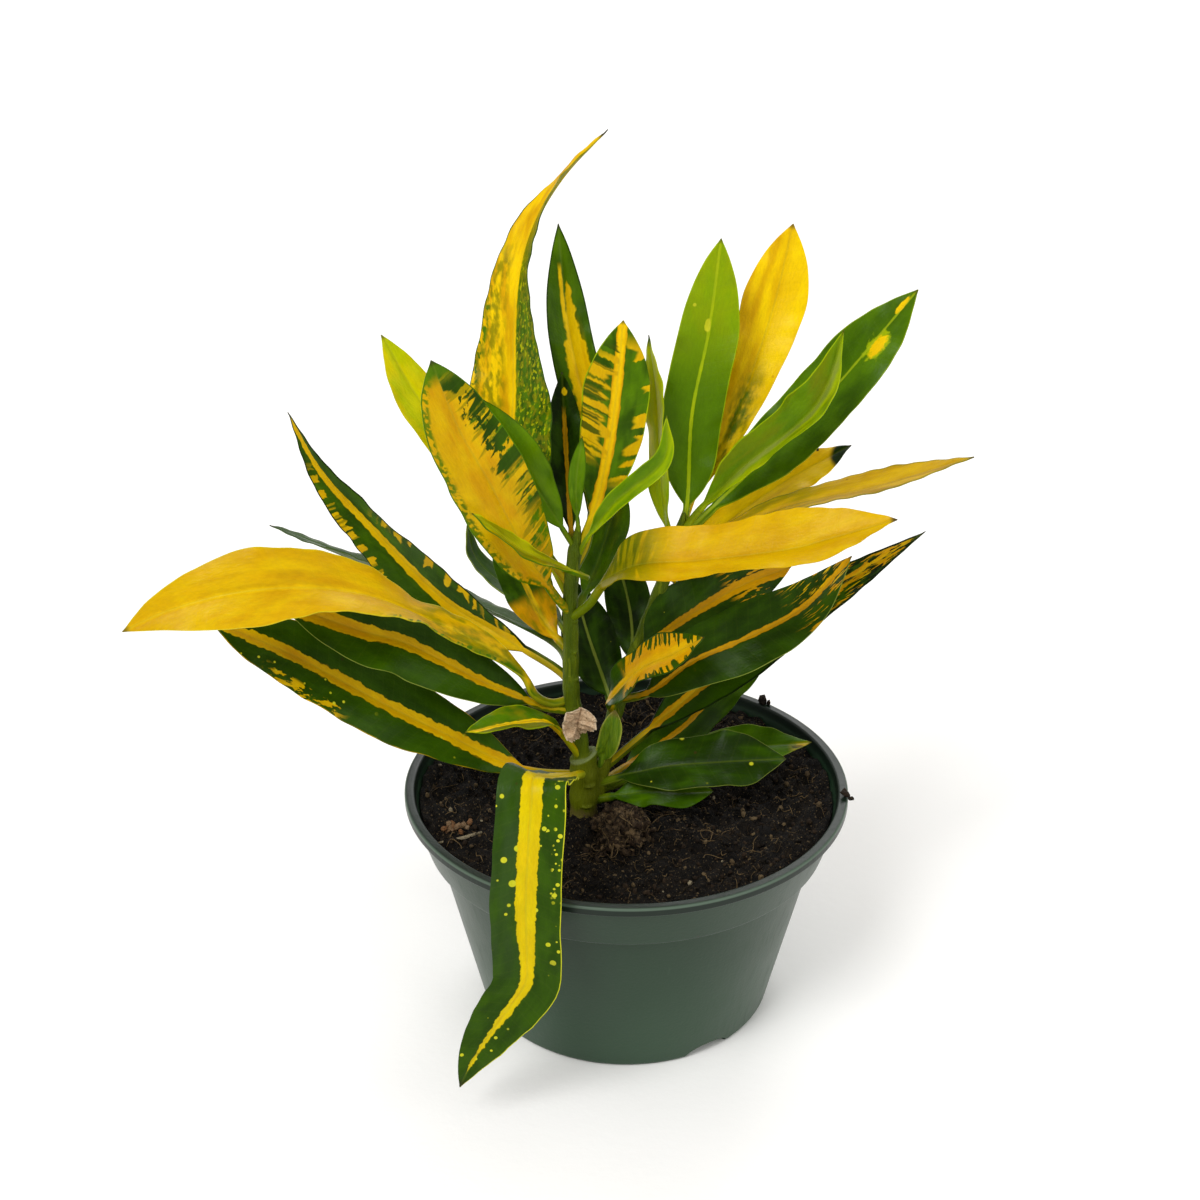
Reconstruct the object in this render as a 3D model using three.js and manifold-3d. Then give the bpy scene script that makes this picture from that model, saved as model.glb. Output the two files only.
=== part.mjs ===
// A potted croton: a young narrow-leaved plant with two leafy heads, in a dark green nursery pan.
// Millimetres, +Z up. The origin is the middle of the pot's underside, and the plant's front faces -Y.

import * as THREE from 'three';
import { mergeVertices } from 'three/addons/utils/BufferGeometryUtils.js';
import Module from 'manifold-3d';

const wasm = await Module();
wasm.setup();

// Driving dimensions of the pot.
const POT_HEIGHT = 62;
const RIM_RADIUS = 57.5;
const LIP_WIDTH = 2.5;
const LIP_DEPTH = 2.4;
const LIP_ROUND = 0.7;
const LIP_FOOT = POT_HEIGHT - LIP_DEPTH;
const COLLAR_HEIGHT = 14;
const COLLAR_FOOT = POT_HEIGHT - COLLAR_HEIGHT;
const COLLAR_STEP = 1.8;
const COLLAR_TOP_RADIUS = 56;
const COLLAR_FOOT_RADIUS = 52.2;
const BODY_TOP_RADIUS = 49.4;
const BASE_RADIUS = 38.5;
const BASE_ROUND = 1.4;
const WALL = 1.6;
const FLOOR = 1.8;
const POT_SIDES = 48;

// The drainage notches that bite into the corner between wall and floor.
const NOTCH_COUNT = 4;
const FIRST_NOTCH_DEG = -57;
const NOTCH_RADII = { across: 6.6, deep: 4.6, high: 3 };

// Soil and stems.
const SOIL_TOP = 59;
const SOIL_DISH = 2.6;
const SOIL_RINGS = 7;
const CLEARANCE = 0.3;
const STEM_SIDES = 10;

// Leaves.
const LEAF_STATIONS = 13;
const LEAF_STRIPS = 4;
const BLADE_HALF = 0.33;
const STALK_RADIUS = 1.1;
const TIP_HALF_WIDTH = 0.45;

// Makes a closed geometry from rings of points, with both ends closed by fans.
function skin(rings) {
  const sides = rings[0].length;
  const positions = rings.flat().flatMap((point) => [point.x, point.y, point.z]);
  const faces = [];
  for (let ring = 0; ring < rings.length - 1; ring++) {
    for (let side = 0; side < sides; side++) {
      const a = ring * sides + side;
      const b = ring * sides + ((side + 1) % sides);
      faces.push(a, b, b + sides);
      faces.push(a, b + sides, a + sides);
    }
  }
  const last = (rings.length - 1) * sides;
  for (let side = 1; side < sides - 1; side++) {
    faces.push(0, side + 1, side);
    faces.push(last, last + side, last + side + 1);
  }
  const geometry = new THREE.BufferGeometry();
  geometry.setAttribute('position', new THREE.Float32BufferAttribute(positions, 3));
  geometry.setIndex(faces);
  return geometry;
}

// Turns a closed geometry into a solid that can be joined and cut.
function solid(geometry) {
  const bare = geometry.clone();
  bare.deleteAttribute('normal');
  bare.deleteAttribute('uv');
  const merged = mergeVertices(bare, 1e-4);
  const vertProperties = new Float32Array(merged.attributes.position.array);
  const triVerts = new Uint32Array(merged.index.array);
  return new wasm.Manifold(new wasm.Mesh({ numProp: 3, vertProperties, triVerts }));
}

// Turns a solid back into a geometry.
function shape(body) {
  const mesh = body.getMesh();
  const geometry = new THREE.BufferGeometry();
  geometry.setAttribute('position', new THREE.Float32BufferAttribute(mesh.vertProperties, 3));
  geometry.setIndex(Array.from(mesh.triVerts));
  geometry.computeVertexNormals();
  return geometry;
}

function vector(point) {
  return new THREE.Vector3(...point);
}

function curveThrough(points) {
  return new THREE.CatmullRomCurve3(points.map(vector), false, 'catmullrom', 0.5);
}

// A round stem along a curve. Its radius runs evenly from one end to the other.
function taperedStem(points, footRadius, topRadius, steps, extra = 0) {
  const curve = curveThrough(points);
  const rings = [];
  for (let step = 0; step <= steps; step++) {
    const share = step / steps;
    const centre = curve.getPointAt(share);
    const along = curve.getTangentAt(share);
    const right = new THREE.Vector3(0, 1, 0).cross(along).normalize();
    const back = along.clone().cross(right);
    const radius = THREE.MathUtils.lerp(footRadius, topRadius, share) + extra;
    const ring = [];
    for (let side = 0; side < STEM_SIDES; side++) {
      const angle = (2 * Math.PI * side) / STEM_SIDES;
      const point = centre.clone().addScaledVector(right, radius * Math.cos(angle));
      ring.push(point.addScaledVector(back, radius * Math.sin(angle)));
    }
    rings.push(ring);
  }
  return solid(skin(rings));
}

// The stems: the thick basal stem of the cutting and the two shoots that grew out of it.
const STEMS = {
  base: { path: [[-11, -7, 47], [-11, -7, 60], [-11, -7, 74]], foot: 3.7, top: 3.5, steps: 3 },
  main: {
    path: [[-11, -7, 62], [-12, -7, 78], [-14, -6, 92], [-14, -5, 106], [-14, -5, 120], [-12, -5, 137]],
    foot: 2.4, top: 1.7, steps: 14,
  },
  right: {
    path: [[-8, -5, 60], [-5, -3, 75], [-1, 0, 90], [5, 3, 106], [10, 4, 121], [14, 5, 136]],
    foot: 2.3, top: 1.6, steps: 14,
  },
};

function stemSolid(extra) {
  return Object.values(STEMS)
    .map((stem) => taperedStem(stem.path, stem.foot, stem.top, stem.steps, extra))
    .reduce((joined, next) => joined.add(next));
}

// The share of a blade's greatest width at a share of its length, for a blade widest at `widest`.
// The higher the powers base and tip are, the blunter those ends are.
function bladeShare(along, widest, base, tip) {
  if (along < widest) return 1 - (1 - along / widest) ** base;
  return 1 - ((along - widest) / (1 - widest)) ** tip;
}

// One leaf: a round stalk that flattens into a folded, waved blade with a midrib under it.
// rib is the route of the midrib from inside the stem to the tip. faces says where the upper side looks,
// at even steps from the stalk to the tip.
function leafGeometry(leaf) {
  const curve = curveThrough(leaf.rib);
  const faces = leaf.faces.map(vector);
  const stalk = leaf.stalk ?? 0.14;
  const fold = THREE.MathUtils.degToRad(leaf.fold ?? 12);
  const wave = leaf.wave ?? 1;
  const waves = leaf.waves ?? 2;
  const stalkRadius = STALK_RADIUS * (leaf.slim ?? 1);
  const rings = [];
  for (let station = 0; station <= LEAF_STATIONS; station++) {
    const share = station / LEAF_STATIONS;
    const centre = curve.getPointAt(share);
    const along = curve.getTangentAt(share);
    const place = share * (faces.length - 1);
    const next = Math.min(faces.length - 1, Math.floor(place) + 1);
    const up = faces[Math.floor(place)].clone().lerp(faces[next], place % 1);
    up.addScaledVector(along, -up.dot(along)).normalize();
    const side = along.clone().cross(up);
    const bladeAt = Math.max(0, (share - stalk) / (1 - stalk));
    const flat = Math.min(1, bladeAt / 0.15);
    const form = bladeShare(bladeAt, leaf.widest ?? 0.58, leaf.base ?? 2.3, leaf.tip ?? 2);
    const blade = (leaf.width / 2) * form;
    const halfWidth = Math.max(blade, THREE.MathUtils.lerp(stalkRadius, TIP_HALF_WIDTH, flat));
    const crown = THREE.MathUtils.lerp(stalkRadius, BLADE_HALF, flat);
    const ridge = THREE.MathUtils.lerp(stalkRadius, BLADE_HALF, Math.sqrt(bladeAt));
    const upper = [];
    const lower = [];
    for (let strip = 0; strip <= LEAF_STRIPS; strip++) {
      const across = (2 * strip) / LEAF_STRIPS - 1;
      const reach = Math.abs(across);
      const swing = Math.sin(across + 2 * Math.PI * waves * bladeAt);
      const ripple = wave * flat * reach * reach * swing;
      const sideways = across * halfWidth * Math.cos(fold * flat);
      const lift = reach * halfWidth * Math.sin(fold * flat) + ripple * Math.min(1, halfWidth / 6);
      const round = Math.sqrt(1 - reach * reach);
      const middle = centre.clone().addScaledVector(side, sideways).addScaledVector(up, lift);
      const over = BLADE_HALF + (crown - BLADE_HALF) * round;
      const under = BLADE_HALF + (ridge - BLADE_HALF) * round * round * round;
      upper.push(middle.clone().addScaledVector(up, over));
      lower.unshift(middle.clone().addScaledVector(up, -under));
    }
    rings.push([...upper, ...lower]);
  }
  return skin(rings);
}

const LEAVES = [
  // Left side: the lower leaves of the main shoot.
  {
    name: 'leaf_left_long_yellow', color: 0xd9a81c, width: 20, widest: 0.7, base: 1.4, tip: 1.6, fold: 14,
    stalk: 0.11,
    rib: [
      [-14, -5, 89], [-19, -7, 89], [-23, -10, 93], [-26, -12, 100], [-33.5, -15, 108.5], [-46, -18, 117.2],
      [-61, -22, 126.3], [-76, -24, 129.5], [-93, -26, 129], [-108, -27, 125], [-119, -28, 120],
    ],
    faces: [
      [-0.4, -0.4, 0.8], [0, -0.4, 0.9], [0, -0.6, 0.8], [0, -0.1, 1], [0, -0.3, 0.95], [-0.1, -0.75, 0.65],
      [-0.2, -0.95, 0.5], [-0.3, -1, 0.5],
    ],
  },
  {
    name: 'leaf_left_upper_dark', color: 0x2f5a10, width: 17, widest: 0.42, tip: 1.2, fold: 20,
    rib: [
      [-14, -5, 94], [-19, 0, 96], [-32, 7, 101], [-47, 12, 109], [-65, 18, 126.5], [-77, 21, 140],
      [-85, 24, 155],
    ],
    faces: [[-0.5, -0.9, 0.2]],
  },
  {
    name: 'leaf_left_back_thin', color: 0x3c5a2c, width: 15, fold: 8,
    rib: [[-14, -5, 98], [-20, 9, 99], [-45, 28, 102], [-70, 36, 108], [-95, 42, 116]],
    faces: [[0, 0.34, 1]],
  },
  {
    name: 'leaf_left_lowest_dark', color: 0x2c5210, width: 19, base: 2.8, tip: 2.8, fold: 12,
    rib: [
      [-11, -7, 68], [-27, -9, 71], [-46, -10, 82], [-60, -10, 90], [-71, -10, 97], [-84, -10, 105],
      [-102, -10, 114],
    ],
    faces: [[0.2, -0.7, 0.7]],
  },
  {
    name: 'leaf_left_middle_dark', color: 0x2c5210, width: 18, fold: 14,
    rib: [
      [-13, -6, 86], [-21, -7, 88], [-28, -10, 93], [-36, -12, 98], [-45, -13, 104], [-55, -14, 110],
      [-66, -15, 114], [-84, -16, 122],
    ],
    faces: [[0.2, -0.8, 0.6]],
  },
  {
    name: 'leaf_front_hanging', color: 0x35600f, width: 16.5, widest: 0.65, base: 4, tip: 3, fold: 6,
    wave: 0.4, stalk: 0.06,
    rib: [
      [-11, -8, 69], [-14, -20, 75.5], [-17, -32, 82.5], [-20, -45, 90.5], [-22, -54, 95.5],
      [-22.5, -58.5, 90], [-23.3, -60.5, 80], [-24, -61, 67], [-24, -61, 54], [-24.5, -61, 45],
      [-27, -61, 38], [-33, -61, 29], [-38, -61, 20], [-41, -61, 12],
    ],
    faces: [[0, -0.2, 1], [0, -0.2, 1], [0, -0.6, 0.8], [0, -1, 0], [0.05, -1, 0], [0.1, -1, 0]],
  },
  {
    name: 'leaf_front_small_olive', color: 0x5d6d14, width: 9, fold: 18, stalk: 0.25, slim: 0.8,
    rib: [[-11, -7, 72], [-19, -14, 87], [-28, -22, 92], [-39, -30, 94]],
    faces: [[0, -0.3, 1]],
  },

  // Left head: the upper leaves of the main shoot.
  {
    name: 'leaf_head_broad_blotched', color: 0xd8b020, width: 19, widest: 0.5, base: 2.8, tip: 3.5, fold: 8,
    rib: [
      [-14, -5, 113], [-19, -9, 122], [-26, -15, 138], [-32.3, -19, 154], [-39, -21, 168.5], [-44.5, -22, 185],
    ],
    faces: [[0.3, -0.9, 0.4]],
  },
  {
    name: 'leaf_head_crossing_lime', color: 0xa3a81c, width: 6, fold: 10, slim: 0.6, stalk: 0.25,
    rib: [[-12, -5, 124], [-10, -11, 126], [-16, -16, 131], [-26, -22, 139], [-36, -27, 150]],
    faces: [[0.2, -0.3, 0.9]],
  },
  {
    name: 'leaf_head_dark_sickle', color: 0x2d4f17, width: 9, fold: 8, slim: 0.8,
    rib: [[-14, -5, 106], [-20, 8, 108], [-32, 17, 111], [-39, 22, 116], [-41, 24, 124]],
    faces: [[0.3, -0.1, 1]],
  },
  {
    name: 'leaf_head_back_lime', color: 0x9cc41c, width: 13, widest: 0.66, fold: 10,
    rib: [[-14, -5, 117], [-22, 6, 128], [-32, 12, 138], [-50, 17, 159], [-60, 19, 177]],
    faces: [[0.3, -0.8, 0.5]],
  },
  {
    name: 'leaf_head_tallest', color: 0xcfae1e, width: 24, widest: 0.27, base: 3.2, tip: 1, fold: 20,
    rib: [
      [-14, -5, 121], [-20, -3, 129], [-26.4, -1, 140], [-28, 3, 155], [-27.5, 7, 168], [-27.3, 10, 181],
      [-26, 13, 194], [-22.3, 16, 205.5], [-15.3, 18, 216.5], [-5, 19, 227],
    ],
    faces: [
      [-0.3, -0.9, 0.3], [-0.3, -0.9, 0.3], [-0.3, -0.9, 0.3], [-0.3, -0.9, 0.3], [-0.45, -0.9, 0.15],
      [-0.6, -0.8, 0.1], [-0.85, -0.5, 0.3], [-0.8, 0.1, 0.45], [-0.6, -0.5, 0.5],
    ],
  },
  {
    name: 'leaf_head_back_green', color: 0x62831a, width: 11.2, widest: 0.52, base: 1.9, tip: 2.6, fold: 12,
    rib: [[-13, -5, 125], [-9.3, 2, 133], [-9.2, 13, 155], [-12.4, 19, 168], [-14.8, 24, 180], [-17, 32, 201]],
    faces: [[0, -0.9, 0.4]],
  },
  {
    name: 'leaf_head_small_dark', color: 0x36500f, width: 9, fold: 12, slim: 0.7,
    rib: [[-13, -5, 128], [-14, -1, 136], [-15, 6, 151], [-16, 12, 170]],
    faces: [[0, -0.9, 0.4]],
  },
  {
    name: 'leaf_head_centre_blotched', color: 0xa89a1c, width: 16, widest: 0.62, base: 2.6, tip: 2.2,
    fold: 8, slim: 0.8,
    rib: [[-12, -5, 131], [-9, -3, 138], [-6.5, -1, 146], [-3.6, 2, 162], [-1.3, 6, 185]],
    faces: [[0, -0.9, 0.4]],
  },
  {
    name: 'leaf_head_young_left', color: 0x5b9419, width: 11, fold: 14, slim: 0.6,
    rib: [[-13, -5, 131], [-20, -8, 145], [-27, -9, 158], [-34, -7, 170]],
    faces: [[0.2, -0.9, 0.4]],
  },
  {
    name: 'leaf_head_bud', color: 0x6f9a1e, width: 4, fold: 8, slim: 0.5,
    rib: [[-12, -5, 135], [-12.5, -6, 148], [-11, -5, 160]],
    faces: [[0, -0.9, 0.4]],
  },
  {
    name: 'leaf_head_young_right', color: 0x6fae1c, width: 5.6, fold: 18, slim: 0.6,
    rib: [[-12, -5, 129], [-9.4, -8, 135.7], [-2.9, -12, 146.6], [7.8, -14.5, 157.8], [8.6, -12, 168]],
    faces: [[-0.3, -0.8, 0.5]],
  },
  {
    name: 'leaf_head_back_right', color: 0x2e5214, width: 11, fold: 12,
    rib: [[-13, -5, 113], [-8, 6, 120], [-4, 14, 130], [-2, 20, 139]],
    faces: [[-0.2, -0.8, 0.5]],
  },
  {
    name: 'leaf_head_back_orange', color: 0x8a7a1a, width: 13, fold: 10,
    rib: [[-14, -5, 102], [-21, 1, 108], [-26, 5, 117], [-33, 9, 128]],
    faces: [[0.3, -0.8, 0.5]],
  },

  // The big yellow leaf of the main shoot that points right.
  {
    name: 'leaf_right_front_yellow', color: 0xdcae18, width: 18, widest: 0.55, base: 3.5, tip: 3, fold: 26,
    stalk: 0.17,
    rib: [
      [-14, -5, 112], [-9.5, -9.5, 118], [-5, -15, 127], [2.6, -20, 133.6], [16.4, -25, 137],
      [36, -31, 142.6], [46.4, -33, 146.6], [60, -35, 152],
    ],
    faces: [[-0.2, -0.5, 1]],
  },

  // Right head.
  {
    name: 'leaf_right_olive_edge', color: 0x6d7a1c, width: 9, fold: 10, slim: 0.6,
    rib: [[12, 4, 127], [9, 5, 136], [7.8, 8, 149], [6.9, 10, 164], [4.8, 13, 179]],
    faces: [[-1, -0.6, 0]],
  },
  {
    name: 'leaf_right_tall_green', color: 0x5aa31e, width: 15.3, widest: 0.5, base: 3, tip: 2.8, fold: 10, slim: 0.8,
    rib: [[14, 5, 132], [15, 10, 140], [15.9, 16, 158], [19.8, 22, 177], [22.5, 26, 199]],
    faces: [[0, -0.9, 0.4]],
  },
  {
    name: 'leaf_right_tall_yellow', color: 0xe0b41c, width: 16, widest: 0.75, base: 1.5, tip: 2, fold: 10,
    rib: [[11, 4, 125], [16, 14, 135], [27, 23, 155], [36, 33, 178], [41, 39, 199]],
    faces: [[-0.1, -0.9, 0.4]],
  },
  {
    name: 'leaf_right_outer_green', color: 0x4f941c, width: 17, widest: 0.5, tip: 3, fold: 12,
    rib: [[12, 4, 128], [20, 9, 134], [30, 11, 144], [47, 12, 162], [69, 14, 190]],
    faces: [[-0.4, -0.8, 0.5]],
  },
  {
    name: 'leaf_right_folded_lime', color: 0x8aa825, width: 12.5, tip: 1.7, fold: 35, slim: 0.8,
    rib: [[13, 5, 130], [18, 3, 138], [28, 1, 150], [44, -3, 167], [50, -1, 185]],
    faces: [[-0.3, -0.6, 0.7]],
  },
  {
    name: 'leaf_right_thin_yellow', color: 0xd9b020, width: 14, tip: 2, fold: 14,
    rib: [[10, 4, 120], [20, 0, 131], [37, -6, 142], [59, -14, 151.5], [79, -20, 161]],
    faces: [[-0.2, 0, 1]],
  },
  {
    name: 'leaf_right_back_tipped', color: 0xc9a31c, width: 14, fold: 12,
    rib: [[11, 4, 118], [20, 11, 126], [38, 20, 136.5], [57, 27, 145]],
    faces: [[-0.2, -0.4, 0.9]],
  },

  // Lower leaves of the right shoot.
  {
    name: 'leaf_low_dark_upper', color: 0x2e5010, width: 18, widest: 0.42, base: 3.2, fold: 10, stalk: 0.1,
    rib: [[3, 2, 99], [6, -3, 104], [12, -1, 108], [20, 4, 111], [30, 10, 114], [42, 16, 116]],
    faces: [[-0.2, -0.85, 0.5]],
  },
  {
    name: 'leaf_low_dark_middle', color: 0x2c4c10, width: 17, widest: 0.5, tip: 1.8, fold: 12,
    rib: [[-2, 0, 86], [6, -8, 93], [16, -11, 103], [29, -10, 109], [43, -7, 116], [55, -1, 127]],
    faces: [[-0.2, -0.85, 0.5]],
  },
  {
    name: 'leaf_low_dark_long', color: 0x34540e, width: 15, widest: 0.38, tip: 1.5, fold: 14,
    rib: [[-6, -4, 68], [10, 2, 80], [24, 6, 91], [39, 10, 101], [54, 14, 111], [76, 18, 125]],
    faces: [[-0.3, -0.7, 0.6]],
  },
  {
    name: 'leaf_low_dark_lower', color: 0x34540e, width: 15, fold: 12,
    rib: [[-6, -4, 64], [4, 7, 65], [16, 15, 70], [26, 19, 80], [39, 23, 88]],
    faces: [[-0.3, -0.6, 0.7]],
  },
  {
    name: 'leaf_low_comb_yellow', color: 0xc9a31c, width: 12, base: 3.2, tip: 2.5, fold: 16,
    rib: [[-3, -1, 83], [-4, -7, 90], [3, -15, 103], [11, -20, 110], [18, -23, 116]],
    faces: [[-0.2, -0.5, 0.8]],
  },
  {
    name: 'leaf_low_green_front', color: 0x2d5c16, width: 16, base: 2.8, tip: 2.5, fold: 8,
    rib: [[-8, -5, 64], [8, -9, 71.3], [23, -10, 73.5], [40.3, -10, 74.5]],
    faces: [[0, -0.5, 0.9]],
  },
  {
    name: 'leaf_low_green_back', color: 0x4b7514, width: 14, fold: 10,
    rib: [[-8, -4, 61.3], [24, 12, 63.2], [49.5, 14.5, 65]],
    faces: [[-0.1, -0.3, 0.9]],
  },
  {
    name: 'leaf_low_green_under', color: 0x42701a, width: 11, fold: 8,
    rib: [[-8, -6.5, 60.3], [5, -9, 64.2], [14, -12, 65.8], [22, -12, 66.2]],
    faces: [[0, -0.4, 0.9]],
  },
  {
    name: 'leaf_behind_dark_left', color: 0x24440e, width: 14, fold: 10, widest: 0.5, base: 3.2,
    rib: [[-3, -1, 82], [-6, 4, 90], [-10, 10, 100], [-14, 17, 112]],
    faces: [[0.1, -0.8, 0.5]],
  },
  {
    name: 'leaf_behind_dark_right', color: 0x24440e, width: 12, fold: 10, widest: 0.5, base: 3.2,
    rib: [[0, 1, 93], [1.5, 13, 98], [0, 22, 106], [-4, 31, 116]],
    faces: [[0, -0.8, 0.5]],
  },
];

// The inside of the pot as a half section, from the axis over the floor up to under the lip.
function potInside() {
  return [
    [0, FLOOR],
    [BASE_RADIUS - WALL - BASE_ROUND, FLOOR],
    [BASE_RADIUS - WALL, FLOOR + BASE_ROUND],
    [BODY_TOP_RADIUS - WALL, COLLAR_FOOT - COLLAR_STEP],
    [COLLAR_FOOT_RADIUS - WALL, COLLAR_FOOT],
    [COLLAR_TOP_RADIUS - WALL, LIP_FOOT],
  ];
}

// The pot's wall as a half section, from the axis under the floor, round the rim and back to the axis.
function potProfile() {
  const lipInner = RIM_RADIUS - LIP_WIDTH;
  return [
    [0, 0],
    [BASE_RADIUS - BASE_ROUND, 0],
    [BASE_RADIUS - 0.4 * BASE_ROUND, 0.25 * BASE_ROUND],
    [BASE_RADIUS, BASE_ROUND],
    [BODY_TOP_RADIUS, COLLAR_FOOT - COLLAR_STEP],
    [COLLAR_FOOT_RADIUS, COLLAR_FOOT],
    [COLLAR_TOP_RADIUS, LIP_FOOT],
    [RIM_RADIUS, LIP_FOOT],
    [RIM_RADIUS, POT_HEIGHT - LIP_ROUND],
    [RIM_RADIUS - LIP_ROUND, POT_HEIGHT],
    [lipInner + LIP_ROUND, POT_HEIGHT],
    [lipInner, POT_HEIGHT - LIP_ROUND],
    ...potInside().reverse(),
  ];
}

function lathe(profile, sides) {
  const points = profile.map(([radius, height]) => new THREE.Vector2(radius, height));
  return new THREE.LatheGeometry(points, sides).rotateX(Math.PI / 2);
}

function potSolid() {
  let pot = solid(lathe(potProfile(), POT_SIDES));
  for (let index = 0; index < NOTCH_COUNT; index++) {
    const angle = FIRST_NOTCH_DEG + (360 / NOTCH_COUNT) * index;
    const notch = new THREE.SphereGeometry(1, 20, 12);
    notch.scale(NOTCH_RADII.deep, NOTCH_RADII.across, NOTCH_RADII.high);
    notch.translate(BASE_RADIUS, 0, 0);
    notch.rotateZ(THREE.MathUtils.degToRad(angle));
    pot = pot.subtract(solid(notch));
  }
  return pot;
}

// How far the soil's top stands over the level of its edge: it is dished and crumbly.
function soilRelief(x, y) {
  const dish = SOIL_DISH * ((x * x + y * y) / RIM_RADIUS ** 2 - 1);
  const lumps = 0.9 * Math.sin(0.31 * x + 1.1) * Math.cos(0.27 * y);
  const crumbs = 0.5 * Math.sin(0.83 * x - 0.61 * y) + 0.3 * Math.cos(1.1 * y + 0.7 * x);
  return dish + lumps + crumbs;
}

// The soil fills the pot: its wall follows the pot's inner wall, and its top is uneven.
function soilSolid() {
  const inside = potInside();
  const underLip = inside.pop();
  const collarFoot = inside[inside.length - 1];
  const share = (SOIL_TOP - collarFoot[1]) / (underLip[1] - collarFoot[1]);
  const topRadius = THREE.MathUtils.lerp(collarFoot[0], underLip[0], share);
  const wall = inside.map(([radius, height]) => [Math.max(0, radius - CLEARANCE), height + CLEARANCE]);
  wall.push([topRadius - 2 * CLEARANCE, SOIL_TOP]);
  for (let ring = SOIL_RINGS - 1; ring >= 0; ring--) {
    wall.push([(topRadius * ring) / SOIL_RINGS, SOIL_TOP]);
  }
  const geometry = lathe(wall, POT_SIDES);
  const position = geometry.attributes.position;
  for (let index = 0; index < position.count; index++) {
    const x = position.getX(index);
    const y = position.getY(index);
    const onTop = Math.abs(position.getZ(index) - SOIL_TOP) < 1e-3;
    const atWall = Math.hypot(x, y) > topRadius - 1;
    if (onTop && !atWall) position.setZ(index, SOIL_TOP + soilRelief(x, y));
  }
  return solid(geometry);
}

// The fibrous woody lump beside the stem, lying on the soil.
const LUMP_CENTRE = [-1, -16.5, 57.5];
const LUMP_RADII = [6.3, 8.5, 5.5];

function lumpSolid() {
  const ball = new THREE.IcosahedronGeometry(1, 4);
  ball.deleteAttribute('uv');
  ball.deleteAttribute('normal');
  const geometry = mergeVertices(ball);
  const position = geometry.attributes.position;
  for (let index = 0; index < position.count; index++) {
    const point = new THREE.Vector3().fromBufferAttribute(position, index);
    const bumps = Math.sin(5 * point.x + 2 * point.z) * Math.cos(4 * point.y - 1);
    point.multiplyScalar(1 + 0.13 * bumps).multiply(vector(LUMP_RADII)).add(vector(LUMP_CENTRE));
    position.setXYZ(index, point.x, point.y, point.z);
  }
  return solid(geometry);
}

// The dried, cupped rest of an old leaf at the top of the basal stem.
const DRIED_STUB = {
  width: 9.5, widest: 0.7, fold: 28, base: 1.7, tip: 6, stalk: 0.1, wave: 0.8, waves: 3, slim: 0.8,
  rib: [[-12, -7, 80], [-12.5, -12, 85], [-11.5, -12.5, 90.5]],
  faces: [[0.2, -0.9, 0.4]],
};

// The short green bract beside it.
const BRACT = {
  width: 6, fold: 20, base: 4, tip: 2.5, stalk: 0.1, wave: 0.3, slim: 0.9,
  rib: [[-7, -5, 70], [-5, -7, 77], [-3, -7, 87]],
  faces: [[0.1, -0.9, 0.4]],
};

const plant = new THREE.Group();
plant.name = 'potted_croton';

function addPiece(name, body, color, roughness) {
  const material = new THREE.MeshStandardMaterial({ color, roughness, metalness: 0 });
  const mesh = new THREE.Mesh(shape(body), material);
  mesh.name = name;
  plant.add(mesh);
}

const stems = stemSolid(0);
const stemRoom = stemSolid(CLEARANCE);
const soil = soilSolid().subtract(stemRoom);
const lump = lumpSolid().subtract(soilSolid().translate([0, 0, CLEARANCE])).subtract(stemRoom);

addPiece('pot', potSolid(), 0x44564a, 0.45);
addPiece('soil', soil, 0x1d1714, 0.95);
addPiece('woody_lump', lump, 0x6a4a30, 0.95);
addPiece('stems', stems, 0x5f7a1c, 0.6);
addPiece('dried_stub', solid(leafGeometry(DRIED_STUB)).subtract(stemRoom), 0xa98560, 0.9);
addPiece('bract', solid(leafGeometry(BRACT)).subtract(stemRoom), 0x6f8a1c, 0.6);
for (const leaf of LEAVES) {
  addPiece(leaf.name, solid(leafGeometry(leaf)).subtract(stemRoom), leaf.color, 0.4);
}

export default plant;
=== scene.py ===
import math
import random
from functools import cached_property

import bmesh
import bpy
import numpy as np
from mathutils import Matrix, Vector, noise


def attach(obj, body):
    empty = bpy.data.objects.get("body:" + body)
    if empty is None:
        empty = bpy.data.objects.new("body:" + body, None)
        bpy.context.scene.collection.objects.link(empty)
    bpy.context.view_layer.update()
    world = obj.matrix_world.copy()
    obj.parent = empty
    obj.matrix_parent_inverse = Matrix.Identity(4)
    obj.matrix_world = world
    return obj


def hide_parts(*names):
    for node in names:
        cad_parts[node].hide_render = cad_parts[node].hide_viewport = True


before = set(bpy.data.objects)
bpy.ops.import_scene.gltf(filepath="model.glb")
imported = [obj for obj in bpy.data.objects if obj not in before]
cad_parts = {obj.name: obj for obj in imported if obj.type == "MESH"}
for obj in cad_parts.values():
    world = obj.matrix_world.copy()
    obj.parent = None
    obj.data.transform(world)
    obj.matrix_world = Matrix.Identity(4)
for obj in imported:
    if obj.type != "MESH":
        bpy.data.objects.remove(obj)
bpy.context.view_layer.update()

# Lengths are in millimetres, as in the part's source, unless their name or a comment says metres. They turn
# into metres when a mesh is made.
MM = 0.001

# The camera stands where the photograph was taken.
CAMERA_PLACE = (-6.8, -445.5, 335.3)
CAMERA_PITCH_DEG = 26.37
LENS = 60
SENSOR = 36
NEAREST_M = 0.02
FARTHEST_M = 20

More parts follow.
